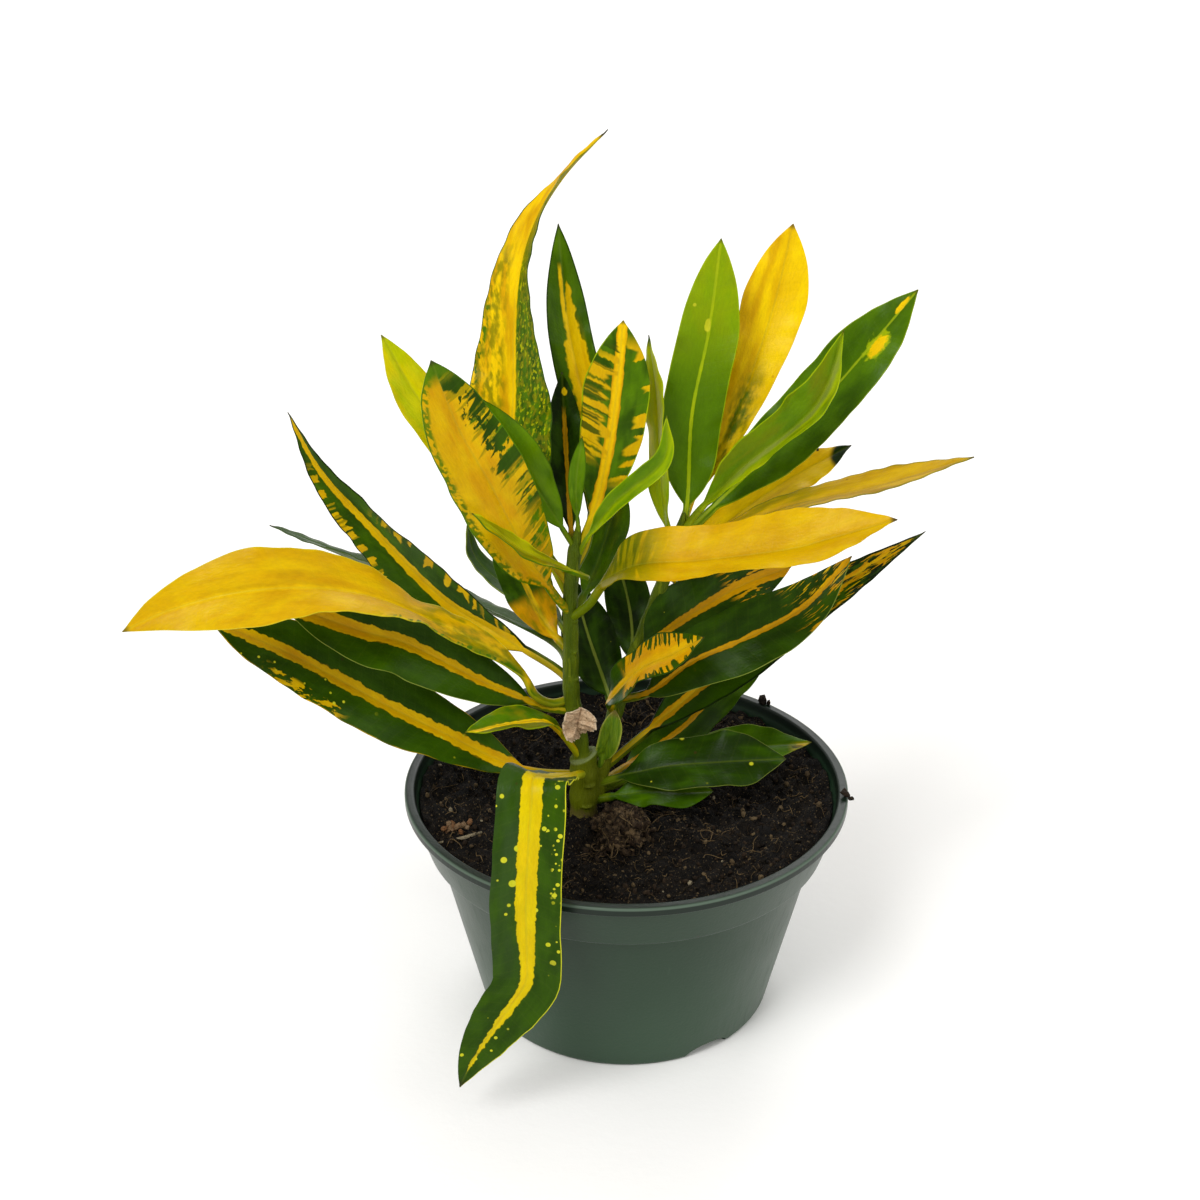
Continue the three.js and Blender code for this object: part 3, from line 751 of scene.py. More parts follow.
def add_soil():
    draw = random.Random(SOIL_SEED)
    heap = Heap()
    section = [(ring / SOIL_RINGS * SOIL_RADIUS, SOIL_TOP) for ring in range(SOIL_RINGS, 0, -1)]
    top = turned(section, SOIL_SIDES)
    for point in top:
        point[2] = soil_height(point[0], point[1])
    walls = [
        (AXIS_RADIUS, FLOOR + CLEARANCE),
        (BASE_RADIUS - WALL - BASE_ROUNDING - CLEARANCE, FLOOR + CLEARANCE),
        (BASE_RADIUS - WALL - CLEARANCE, FLOOR + BASE_ROUNDING + CLEARANCE),
        (BODY_TOP_RADIUS - WALL - CLEARANCE, COLLAR_FOOT - COLLAR_STEP),
        (COLLAR_FOOT_RADIUS - WALL - CLEARANCE, COLLAR_FOOT + CLEARANCE),
        (SOIL_RADIUS, SOIL_TOP - SOIL_SHOULDER),
    ]
    points = np.concatenate([turned(walls, SOIL_SIDES), top])
    heap.add(points, skin_faces(len(walls) + SOIL_RINGS, SOIL_SIDES), MASS, PLAIN)
    form = ball(1)
    for index in range(CRUMBS):
        place = anywhere(draw, SOIL_RADIUS - CRUMB_MARGIN)
        kind = CRUMB if index % PALE_EVERY else PALE
        drop(heap, form, place, 0.2, uneven(draw, *CRUMB_SIZE), draw, kind)
    for _ in range(FIBRES):
        start = anywhere(draw, SOIL_RADIUS - FIBRE_MARGIN)
        fibre(heap, start, uneven(draw, *FIBRE_LENGTH), draw.uniform(*FIBRE_RADIUS), draw, soil_height)
    for _ in range(BARK_CRUMBS):
        place = about(draw, BARK_PLACE, BARK_SPREAD)
        drop(heap, form, place, 0.4, uneven(draw, *BARK_SIZE), draw, BARK)
    stick = [(x, y, soil_height(x, y) + STICK_LIFT) for x, y in STICK_PATH]
    heap.strand(stick, STICK_RADII, STICK_SIDES, PALE, PLAIN)
    for radius, turn, size in RIM_CRUMBS:
        angle = math.radians(turn)
        seat = (radius * math.cos(angle), radius * math.sin(angle), POT_HEIGHT + 0.25 * size)
        crumb(heap, form, seat, size, draw, CRUMB)
    add_heap("potting_mix", heap, soil_material(), "soil")


# The fibrous woody lump beside the stem, and the low heel of fibres and crumbs in front of it.
LUMP_SEED = 12
LUMP_CENTRE = (-1, -16.5, 57.5)
LUMP_RADII = (6.3, 8.5, 5.5)
LUMP_CRUMBS = 320
LUMP_CRUMB_SIZE = (0.5, 1.9, 2)
LUMP_STRANDS = 90
STRAND_RADIUS = (0.07, 0.15)
STRAND_PROFILE = (0.4, 0.9, 1, 1, 0.9, 1, 0.8, 0.3)
FOOT_CRUMBS = 110
FOOT_CRUMB_SIZE = (0.6, 1.8, 2)
FOOT_RING = (0.85, 0.5, 2)
LUMP_HEEL = (-4.6, -25.2)
HEEL_HEIGHT = 2.2
HEEL_REACH = 3
HEEL_CRUMBS = 170
HEEL_CRUMB_SIZE = (0.6, 1.3, 2)
HEEL_CRUMB_SPREAD = (2, 1.8)
HEEL_STRANDS = 45
HEEL_STRAND_LENGTH = (2.5, 5)
HEEL_STRAND_SPREAD = (2.2, 2)


def lump_reach(direction):
    """How far the lump's uneven skin stands from its centre, as a share of its radii."""
    x, y, z = direction
    bumps = 0.13 * math.sin(5 * x + 2 * z) * math.cos(4 * y - 1)
    knobs = 0.34 * noise.fractal(Vector(direction) * 2.0, 0.75, 2.1, 6)
    return 1 + bumps + knobs


def heel_height(x, y):
    """The soil's height with the low fibrous heel in front of the lump on it."""
    away = (x - LUMP_HEEL[0]) ** 2 + (y - LUMP_HEEL[1]) ** 2
    return soil_height(x, y) + HEEL_HEIGHT * math.exp(-away / HEEL_REACH**2)


def lump_material():
    surface = Surface("wood_fibre")
    x, y, z = surface.place
    kind, tint, _ = surface.field("bit")
    surface.paint((64, 50, 35))
    surface.paint((128, 107, 78), (surface.mottle(2.4, 4.0) - 0.1).step(0.7) * 0.8)
    # Painted shade: dark pits where the lump's holes would lie in shade.
    surface.paint((14, 10, 8), (surface.mottle(1.1, 4.0) - 0.1).step(0.35) * 0.9)
    surface.paint((168, 148, 112), (surface.mottle(0.35, 3.0) - 0.9).step(0.15) * 0.8)
    crumbs = of_kind(kind, CRUMB)
    surface.paint((46, 32, 20), crumbs * (tint - 0.3).step(0.3) * 0.8)
    surface.paint((136, 113, 80), crumbs * (tint - 0.86).step(0.08) * 0.6)
    strands = of_kind(kind, STRAND)
    surface.paint(surface.mixed((38, 28, 18), (132, 110, 76), (tint - 0.5).step(0.4)), strands * 0.9)
    # Painted shade: the lump is darker below its middle.
    low = (LUMP_CENTRE[2] - z + surface.grain(x / 3, y / 3, 0) * 1.4).step(2.5)
    surface.paint((20, 14, 11), low * 0.6)
    roughness = surface.mottle(1) * 0.05 + 0.85
    relief = surface.mottle(0.35, 5.0)
    return surface.finish(roughness, relief, 0.3, 0.15)


def add_lump():
    draw = random.Random(LUMP_SEED)
    heap = Heap()
    form, faces = ball(6)
    reach = np.array([lump_reach(point) for point in form])
    heap.add(form * reach[:, None] * LUMP_RADII + LUMP_CENTRE, faces, MASS, PLAIN)
    grain = ball(2)
    for _ in range(LUMP_CRUMBS):
        direction = np.array([draw.gauss(0, 1), draw.gauss(0, 1), draw.gauss(0.4, 0.7)])
        direction = direction / np.linalg.norm(direction)
        seat = direction * lump_reach(direction) * LUMP_RADII + LUMP_CENTRE
        crumb(heap, grain, seat, uneven(draw, *LUMP_CRUMB_SIZE), draw, CRUMB)
    for _ in range(FOOT_CRUMBS):
        angle = draw.random() * math.tau
        away = uneven(draw, *FOOT_RING)
        x = LUMP_CENTRE[0] + LUMP_RADII[0] * away * math.cos(angle)
        y = LUMP_CENTRE[1] + LUMP_RADII[1] * away * math.sin(angle)
        drop(heap, grain, (x, y), 0.3, uneven(draw, *FOOT_CRUMB_SIZE), draw, CRUMB)
    for _ in range(HEEL_CRUMBS):
        place = about(draw, LUMP_HEEL, HEEL_CRUMB_SPREAD)
        drop(heap, grain, place, 0, uneven(draw, *HEEL_CRUMB_SIZE), draw, CRUMB, heel_height)
    for _ in range(HEEL_STRANDS):
        start = about(draw, LUMP_HEEL, HEEL_STRAND_SPREAD)
        length = draw.uniform(*HEEL_STRAND_LENGTH)
        fibre(heap, start, length, draw.uniform(*STRAND_RADIUS), draw, heel_height)
    for _ in range(LUMP_STRANDS):
        direction = np.array([draw.gauss(0, 1), draw.gauss(0, 1), abs(draw.gauss(0, 0.8))])
        heading = np.array([draw.gauss(0, 1), draw.gauss(0, 1), draw.gauss(0, 0.6)])
        path = []
        for step in range(4):
            direction = direction / np.linalg.norm(direction)
            skin = lump_reach(direction) + 0.02 + 0.03 * draw.random()
            path.append(direction * skin * LUMP_RADII + LUMP_CENTRE)
            direction = direction + heading * 0.16
            heading = heading + np.array([draw.gauss(0, 0.5) for _ in range(3)])
        radii = draw.uniform(*STRAND_RADIUS) * np.array(STRAND_PROFILE)
        heap.strand(path, radii, FIBRE_SIDES, STRAND, draw.random())
    add_heap("fibrous_lump", heap, lump_material(), "woody_lump")


# The stems: the thick basal stem of the cutting and the two shoots that grew out of it.
STEMS = {
    "base": dict(path=[(-11, -7, 47), (-11, -7, 60), (-11, -7, 74)], foot=3.7, top=3.5),
    "main": dict(
        path=[(-11, -7, 62), (-12, -7, 78), (-14, -6, 92), (-14, -5, 106), (-14, -5, 120), (-12, -5, 137)],
        foot=2.4, top=1.7,
    ),
    "right": dict(
        path=[(-8, -5, 60), (-5, -3, 75), (-1, 0, 90), (5, 3, 106), (10, 4, 121), (14, 5, 136)],
        foot=2.3, top=1.6,
    ),
}
STEM_SEED = 5
STEM_SIDES = 28
STEM_RINGS = 60
STEM_SWELL = 0.05
STEM_VOXEL = 0.3
TAPER_RINGS = 6
SHOOT_TIP = 0.35
CUT_SLOPE = 0.5
# The leaf scars: their radius and how far out they sit, as shares of the stem's radius there, their
# height, and the sector of the stem that they are on, in radians.
SCAR_RADIUS = 0.6
SCAR_SEAT = 0.62
SCAR_HEIGHT = 0.55
SCAR_SECTOR = (-2.6, -0.5)
SCAR_SHARES = {"base": (0.5, 0.72), "main": (0.3, 0.45, 0.55, 0.66), "right": (0.36, 0.5, 0.63)}


def stem_material():
    surface = Surface("green_stem")
    x, y, z = surface.place
    surface.paint((80, 96, 2))
    surface.paint((56, 74, 2), surface.mottle(2.5, 3.0, height=16).step(0.7) * 0.8)
    surface.paint((118, 130, 12), (surface.mottle(0.9, 3.0, height=12) - 0.5).step(0.3) * 0.5)
    foot = STEMS["base"]["path"][0]
    top = STEMS["base"]["path"][-1][2]
    surface.paint((98, 106, 6), (top - z).step(3) * 0.8)
    surface.paint((78, 84, 6), (x - foot[0] - 0.6).step(1.5) * (top - z).step(2) * 0.6)
    surface.paint((140, 142, 64), (surface.mottle(1.2, 3.0, height=0.7) - 1.1).step(0.15) * 0.5)
    over = z - (x - foot[0]) * CUT_SLOPE - top
    aside = ((x - foot[0]) * (x - foot[0]) + (y - foot[1]) * (y - foot[1])).feed("POWER", 0.5)
    surface.paint((124, 136, 84), (0.5 - abs(over)).step(0.3) * (aside - 2.4).step(0.3) * 0.8)
    surface.paint((90, 76, 44), (SOIL_TOP + 0.2 - z + surface.mottle(2) * 0.8).step(1.2) * 0.7)
    roughness = surface.mottle(2, height=5) * 0.05 + 0.5
    relief = surface.mottle(0.5, 4.0, height=5) + surface.mottle(0.3) * 0.3
    return surface.finish(roughness, relief, 0.16, 0.12)


def add_stems():
    draw = random.Random(STEM_SEED)
    heap = Heap()
    knob, knob_faces = ball(3)
    for name, stem in STEMS.items():
        swells = 2 if name == "base" else 5
        wave = [math.sin(13 * ring / STEM_RINGS * swells) for ring in range(STEM_RINGS)]
        radii = np.linspace(stem["foot"], stem["top"], STEM_RINGS) * (1 + STEM_SWELL * np.array(wave))
        if name != "base":
            radii[-TAPER_RINGS:] *= np.linspace(1, SHOOT_TIP, TAPER_RINGS)
        points = rope(stem["path"], radii, STEM_SIDES)
        if name == "base":
            points[-STEM_SIDES:, 2] += CUT_SLOPE * (points[-STEM_SIDES:, 0] - stem["path"][-1][0])
        heap.add(points, skin_faces(STEM_RINGS, STEM_SIDES), MASS, PLAIN)
        places, along, _ = follow(stem["path"], SCAR_SHARES[name])
        for place, direction, share in zip(places, along, SCAR_SHARES[name]):
            radius = lerp(stem["foot"], stem["top"], share)
            angle = draw.uniform(*SCAR_SECTOR)
            out = np.array([math.cos(angle), math.sin(angle), 0])
            out = out - direction * (out @ direction)
            form = knob * (radius * SCAR_RADIUS, radius * SCAR_RADIUS, SCAR_HEIGHT)
            heap.add(form + place + out * radius * SCAR_SEAT, knob_faces, MASS, PLAIN)
    stems = add_piece("green_stems", np.concatenate(heap.points), heap.faces, stem_material(), "stems")
    remesh = stems.modifiers.new("one_skin", "REMESH")
    remesh.mode = "VOXEL"
    remesh.voxel_size = STEM_VOXEL * MM
    remesh.use_smooth_shade = True
    relax = stems.modifiers.new("relax", "SMOOTH")
    relax.iterations = 4
    settle(stems)


# The dried rest of an old leaf at the top of the basal stem, and the short green bract beside it.
DRIED_STUB = dict(
    width=9.5, widest=0.7, fold=28, base=1.7, tip=6, stalk=0.1, wave=0.8, waves=3, slim=0.8,
    rib=[(-12, -7, 80), (-12.5, -12, 85), (-11.5, -12.5, 90.5)], faces=[(0.2, -0.9, 0.4)],
)
BRACT = dict(
    width=6, fold=20, base=4, tip=2.5, stalk=0.1, wave=0.3, slim=0.9,
    rib=[(-7, -5, 70), (-5, -7, 77), (-3, -7, 87)], faces=[(0.1, -0.9, 0.4)],
)
DRIED_SEED = 51
DRIED_CRUMPLE = 1.3
BRACT_SEED = 52


def dried_material():
    surface = Surface("dried_leaf")
    across, _, half = surface.field("blade")
    surface.paint((208, 180, 146))
    surface.paint((176, 142, 108), surface.mottle(1.4, 4.0).step(0.7) * 0.7)
    surface.paint((118, 86, 62), (surface.mottle(0.5, 3.0, height=2.5) - 0.8).step(0.25) * 0.55)
    surface.paint((226, 206, 176), (abs(across) - 0.9).step(0.06) * 0.7)
    surface.paint((140, 104, 76), (0.2 - abs(across * half)).step(0.12) * 0.5)
    roughness = surface.mottle(1) * 0.05 + 0.75
    relief = surface.mottle(0.5, 5.0, height=1.5)
    return surface.finish(roughness, relief, 0.3, 0.2)


def bract_material():
    surface = Surface("green_bract")
    across, along, _ = surface.field("blade")
    surface.paint((104, 130, 12))
    surface.paint((66, 100, 10), surface.mottle(0.8, 3.0, height=8).step(0.8) * 0.8)
    surface.paint((160, 164, 60), (abs(across) - 0.86).step(0.08) * 0.7)
    surface.paint((120, 96, 50), (along - 0.9).step(0.06) * 0.7)
    roughness = surface.mottle(1) * 0.05 + 0.45
    relief = surface.mottle(0.4, 4.0, height=5)
    return surface.finish(roughness, relief, 0.15, 0.25)


def add_scraps():
    points, faces, marks, _, _ = blade(DRIED_STUB, DRIED_SEED, DRIED_CRUMPLE)
    add_piece("dried_leaf_stub", points, faces, dried_material(), "dried_stub", blade=marks)
    points, faces, marks, _, _ = blade(BRACT, BRACT_SEED)
    add_piece("green_bract", points, faces, bract_material(), "bract", blade=marks)


# The leaves, shaped as in the part, but for five that differ a little: in the scene leaf_right_tall_green
# and leaf_right_olive_edge are broader at the foot, leaf_right_thin_yellow and leaf_left_back_thin are less
# wavy, and leaf_front_hanging has a sharper crease. Their order gives each leaf the seed of its noise.
LEAVES = {
    # Left side: the lower leaves of the main shoot.
    "leaf_left_long_yellow": dict(width=20, widest=0.7, base=1.4, tip=1.6, fold=14, stalk=0.11,
        rib=[(-14, -5, 89), (-19, -7, 89), (-23, -10, 93), (-26, -12, 100), (-33.5, -15, 108.5),
             (-46, -18, 117.2), (-61, -22, 126.3), (-76, -24, 129.5), (-93, -26, 129), (-108, -27, 125),
             (-119, -28, 120)],
        faces=[(-0.4, -0.4, 0.8), (0, -0.4, 0.9), (0, -0.6, 0.8), (0, -0.1, 1), (0, -0.3, 0.95),
               (-0.1, -0.75, 0.65), (-0.2, -0.95, 0.5), (-0.3, -1, 0.5)]),
    "leaf_left_upper_dark": dict(width=17, widest=0.42, tip=1.2, fold=20,
        rib=[(-14, -5, 94), (-19, 0, 96), (-32, 7, 101), (-47, 12, 109), (-65, 18, 126.5), (-77, 21, 140),
             (-85, 24, 155)],
        faces=[(-0.5, -0.9, 0.2)]),
    "leaf_left_back_thin": dict(width=15, fold=8, crimp=0.3,
        rib=[(-14, -5, 98), (-20, 9, 99), (-45, 28, 102), (-70, 36, 108), (-95, 42, 116)],
        faces=[(0, 0.34, 1)]),
    "leaf_left_lowest_dark": dict(width=19, base=2.8, tip=2.8,
        rib=[(-11, -7, 68), (-27, -9, 71), (-46, -10, 82), (-60, -10, 90), (-71, -10, 97), (-84, -10, 105),
             (-102, -10, 114)],
        faces=[(0.2, -0.7, 0.7)]),
    "leaf_left_middle_dark": dict(width=18, fold=14,
        rib=[(-13, -6, 86), (-21, -7, 88), (-28, -10, 93), (-36, -12, 98), (-45, -13, 104), (-55, -14, 110),
             (-66, -15, 114), (-84, -16, 122)],
        faces=[(0.2, -0.8, 0.6)]),
    "leaf_front_hanging": dict(width=16.5, widest=0.65, base=4, tip=3, fold=6, wave=0.4, stalk=0.06,
        rib=[(-11, -8, 69), (-14, -20, 75.5), (-17, -32, 82.5), (-20, -45, 90.5), (-22, -54, 95.5),
             (-22.5, -58.5, 90), (-23.3, -60.5, 80), (-24, -61, 67), (-24, -61, 55), (-24, -61, 47),
             (-24.3, -61, 44), (-25.3, -61, 41.3), (-27.2, -61, 38), (-31.2, -61, 31.5), (-35.2, -61, 24.8),
             (-38.6, -61, 18), (-41, -61, 12)],
        faces=[(0, -0.2, 1), (0, -0.2, 1), (0, -0.6, 0.8), (0, -1, 0), (0.05, -1, 0), (0.1, -1, 0)]),
    "leaf_front_small_olive": dict(width=9, fold=18, stalk=0.25, slim=0.8,
        rib=[(-11, -7, 72), (-19, -14, 87), (-28, -22, 92), (-39, -30, 94)],
        faces=[(0, -0.3, 1)]),

    # Left head: the upper leaves of the main shoot.
    "leaf_head_broad_blotched": dict(width=19, widest=0.5, base=2.8, tip=3.5, fold=8,
        rib=[(-14, -5, 113), (-19, -9, 122), (-26, -15, 138), (-32.3, -19, 154), (-39, -21, 168.5),
             (-44.5, -22, 185)],
        faces=[(0.3, -0.9, 0.4)]),
    "leaf_head_crossing_lime": dict(width=6, fold=10, slim=0.6, stalk=0.25,
        rib=[(-12, -5, 124), (-10, -11, 126), (-16, -16, 131), (-26, -22, 139), (-36, -27, 150)],
        faces=[(0.2, -0.3, 0.9)]),
    "leaf_head_dark_sickle": dict(width=9, fold=8, slim=0.8,
        rib=[(-14, -5, 106), (-20, 8, 108), (-32, 17, 111), (-39, 22, 116), (-41, 24, 124)],
        faces=[(0.3, -0.1, 1)]),
    "leaf_head_back_lime": dict(width=13, widest=0.66, fold=10,
        rib=[(-14, -5, 117), (-22, 6, 128), (-32, 12, 138), (-50, 17, 159), (-60, 19, 177)],
        faces=[(0.3, -0.8, 0.5)]),
    "leaf_head_tallest": dict(width=24, widest=0.27, base=3.2, tip=1, fold=20,
        rib=[(-14, -5, 121), (-20, -3, 129), (-26.4, -1, 140), (-28, 3, 155), (-27.5, 7, 168),
             (-27.3, 10, 181), (-26, 13, 194), (-22.3, 16, 205.5), (-15.3, 18, 216.5), (-5, 19, 227)],
        faces=[(-0.3, -0.9, 0.3), (-0.3, -0.9, 0.3), (-0.3, -0.9, 0.3), (-0.3, -0.9, 0.3),
               (-0.45, -0.9, 0.15), (-0.6, -0.8, 0.1), (-0.85, -0.5, 0.3), (-0.8, 0.1, 0.45),
               (-0.6, -0.5, 0.5)]),
    "leaf_head_back_green": dict(width=11.2, widest=0.52, base=1.9, tip=2.6,
        rib=[(-13, -5, 125), (-9.3, 2, 133), (-9.2, 13, 155), (-12.4, 19, 168), (-14.8, 24, 180),
             (-17, 32, 201)]),
    "leaf_head_small_dark": dict(width=9, slim=0.7,
        rib=[(-13, -5, 128), (-14, -1, 136), (-15, 6, 151), (-16, 12, 170)]),
    "leaf_head_centre_blotched": dict(width=16, widest=0.62, base=2.6, tip=2.2, fold=8, slim=0.8,
        rib=[(-12, -5, 131), (-9, -3, 138), (-6.5, -1, 146), (-3.6, 2, 162), (-1.3, 6, 185)]),
    "leaf_head_young_left": dict(width=11, fold=14, slim=0.6,
        rib=[(-13, -5, 131), (-20, -8, 145), (-27, -9, 158), (-34, -7, 170)],
        faces=[(0.2, -0.9, 0.4)]),
    "leaf_head_bud": dict(width=4, fold=8, slim=0.5,
        rib=[(-12, -5, 135), (-12.5, -6, 148), (-11, -5, 160)]),
    "leaf_head_young_right": dict(width=5.6, fold=18, slim=0.6,
        rib=[(-12, -5, 129), (-9.4, -8, 135.7), (-2.9, -12, 146.6), (7.8, -14.5, 157.8), (8.6, -12, 168)],
        faces=[(-0.3, -0.8, 0.5)]),
    "leaf_head_back_right": dict(width=11,
        rib=[(-13, -5, 113), (-8, 6, 120), (-4, 14, 130), (-2, 20, 139)],
        faces=[(-0.2, -0.8, 0.5)]),
    "leaf_head_back_orange": dict(width=13, fold=10,
        rib=[(-14, -5, 102), (-21, 1, 108), (-26, 5, 117), (-33, 9, 128)],
        faces=[(0.3, -0.8, 0.5)]),

    # The big yellow leaf of the main shoot that points right.
    "leaf_right_front_yellow": dict(width=18, widest=0.55, base=3.5, tip=3, fold=26, stalk=0.17,
        rib=[(-14, -5, 112), (-9.5, -9.5, 118), (-5, -15, 127), (2.6, -20, 133.6), (16.4, -25, 137),
             (36, -31, 142.6), (46.4, -33, 146.6), (60, -35, 152)],
        faces=[(-0.2, -0.5, 1)]),

    # Right head.
    "leaf_right_olive_edge": dict(width=9, base=4, fold=10, stalk=0.08, slim=0.6,
        rib=[(12, 4, 127), (9, 5, 136), (7.8, 8, 149), (6.9, 10, 164), (4.8, 13, 179)],
        faces=[(-1, -0.6, 0)]),
    "leaf_right_tall_green": dict(width=15.3, widest=0.5, base=4.6, tip=3, fold=10, stalk=0.07, slim=0.8,
        rib=[(14, 5, 132), (15, 10, 140), (15.9, 16, 158), (19.8, 22, 177), (22.5, 26, 199)]),
    "leaf_right_tall_yellow": dict(width=16, widest=0.75, base=1.5, fold=10,
        rib=[(11, 4, 125), (16, 14, 135), (27, 23, 155), (36, 33, 178), (41, 39, 199)],
        faces=[(-0.1, -0.9, 0.4)]),
    "leaf_right_outer_green": dict(width=17, widest=0.5, tip=3,
        rib=[(12, 4, 128), (20, 9, 134), (30, 11, 144), (47, 12, 162), (69, 14, 190)],
        faces=[(-0.4, -0.8, 0.5)]),
    "leaf_right_folded_lime": dict(width=12.5, tip=1.7, fold=35, slim=0.8,
        rib=[(13, 5, 130), (18, 3, 138), (28, 1, 150), (44, -3, 167), (50, -1, 185)],
        faces=[(-0.3, -0.6, 0.7)]),
    "leaf_right_thin_yellow": dict(width=14, fold=10, wave=0.3, crimp=0.25,
        rib=[(10, 4, 120), (20, 0, 131), (37, -6, 142), (59, -14, 151.5), (79, -20, 161)],
        faces=[(-0.2, 0, 1)]),
    "leaf_right_back_tipped": dict(width=14,
        rib=[(11, 4, 118), (20, 11, 126), (38, 20, 136.5), (57, 27, 145)],
        faces=[(-0.2, -0.4, 0.9)]),

    # Lower leaves of the right shoot.
    "leaf_low_dark_upper": dict(width=18, widest=0.42, base=3.2, fold=10, stalk=0.1,
        rib=[(3, 2, 99), (6, -3, 104), (12, -1, 108), (20, 4, 111), (30, 10, 114), (42, 16, 116)],
        faces=[(-0.2, -0.85, 0.5)]),
    "leaf_low_dark_middle": dict(width=17, widest=0.5, tip=1.8,
        rib=[(-2, 0, 86), (6, -8, 93), (16, -11, 103), (29, -10, 109), (43, -7, 116), (55, -1, 127)],
        faces=[(-0.2, -0.85, 0.5)]),
    "leaf_low_dark_long": dict(width=15, widest=0.38, tip=1.5, fold=14,
        rib=[(-6, -4, 68), (10, 2, 80), (24, 6, 91), (39, 10, 101), (54, 14, 111), (76, 18, 125)],
        faces=[(-0.3, -0.7, 0.6)]),
    "leaf_low_dark_lower": dict(width=15,
        rib=[(-6, -4, 64), (4, 7, 65), (16, 15, 70), (26, 19, 80), (39, 23, 88)],
        faces=[(-0.3, -0.6, 0.7)]),
    "leaf_low_comb_yellow": dict(width=12, base=3.2, tip=2.5, fold=16,
        rib=[(-3, -1, 83), (-4, -7, 90), (3, -15, 103), (11, -20, 110), (18, -23, 116)],
        faces=[(-0.2, -0.5, 0.8)]),
    "leaf_low_green_front": dict(width=16, base=2.8, tip=2.5, fold=8,
        rib=[(-8, -5, 64), (8, -9, 71.3), (23, -10, 73.5), (40.3, -10, 74.5)],
        faces=[(0, -0.5, 0.9)]),
    "leaf_low_green_back": dict(width=14, fold=10,
        rib=[(-8, -4, 61.3), (24, 12, 63.2), (49.5, 14.5, 65)],
        faces=[(-0.1, -0.3, 0.9)]),
    "leaf_low_green_under": dict(width=11, fold=8,
        rib=[(-8, -6.5, 60.3), (5, -9, 64.2), (14, -12, 65.8), (22, -12, 66.2)],
        faces=[(0, -0.4, 0.9)]),
    "leaf_behind_dark_left": dict(width=14, fold=10, widest=0.5, base=3.2,
        rib=[(-3, -1, 82), (-6, 4, 90), (-10, 10, 100), (-14, 17, 112)],
        faces=[(0.1, -0.8, 0.5)]),
    "leaf_behind_dark_right": dict(width=12, fold=10, widest=0.5, base=3.2,
        rib=[(0, 1, 93), (1.5, 13, 98), (0, 22, 106), (-4, 31, 116)],
        faces=[(0, -0.8, 0.5)]),
}


# The colours of the plant, and a grey-green for painted sheen, each as two tones that run into each other.
TONES = {
    "yellow": ((210, 172, 0), (197, 154, 0)),
    "gold": ((206, 184, 0), (198, 172, 0)),
    "bright": ((240, 202, 0), (228, 186, 0)),
    "lemon": ((206, 202, 0), (186, 190, 0)),
    "orange": ((206, 152, 0), (188, 134, 0)),
    "ochre": ((178, 138, 0), (158, 120, 0)),
    "deep": ((15, 30, 0), (22, 42, 0)),
    "dark": ((34, 60, 0), (48, 78, 0)),
    "green": ((60, 94, 0), (78, 114, 0)),
    "fresh": ((100, 134, 0), (82, 116, 0)),
    "lime": ((142, 168, 0), (168, 182, 0)),
    "olive": ((98, 104, 0), (122, 120, 0)),
    "cream": ((206, 202, 44), (186, 188, 28)),
    "pale": ((140, 152, 62), (118, 134, 44)),
    "stalk": ((118, 130, 14), (92, 108, 8)),
    "sheen_grey": ((62, 80, 52), (48, 66, 40)),
    # A grey-green for painted sheen, where a leaf catches the light.
    "brown": ((60, 40, 16), (38, 28, 14)),
    "tan": ((196, 156, 44), (174, 134, 30)),
}

# The side veins run forward as they leave the midrib: this many millimetres for each one across.
VEIN_LEAN = 0.42
VEIN_PITCH = 3.1
LEAF_GLOSS = 0.07
LEAF_ROUGHNESS = 0.32
LEAF_RELIEF = 0.13
# How far apart the noises of two leaves lie, and two noises of one leaf.
LEAF_STRIDE = 3.7
NOISE_STRIDE = 1.9
# How far the noise is raised to cover the whole blade in place of half of it.
COVER_RISE = 0.9


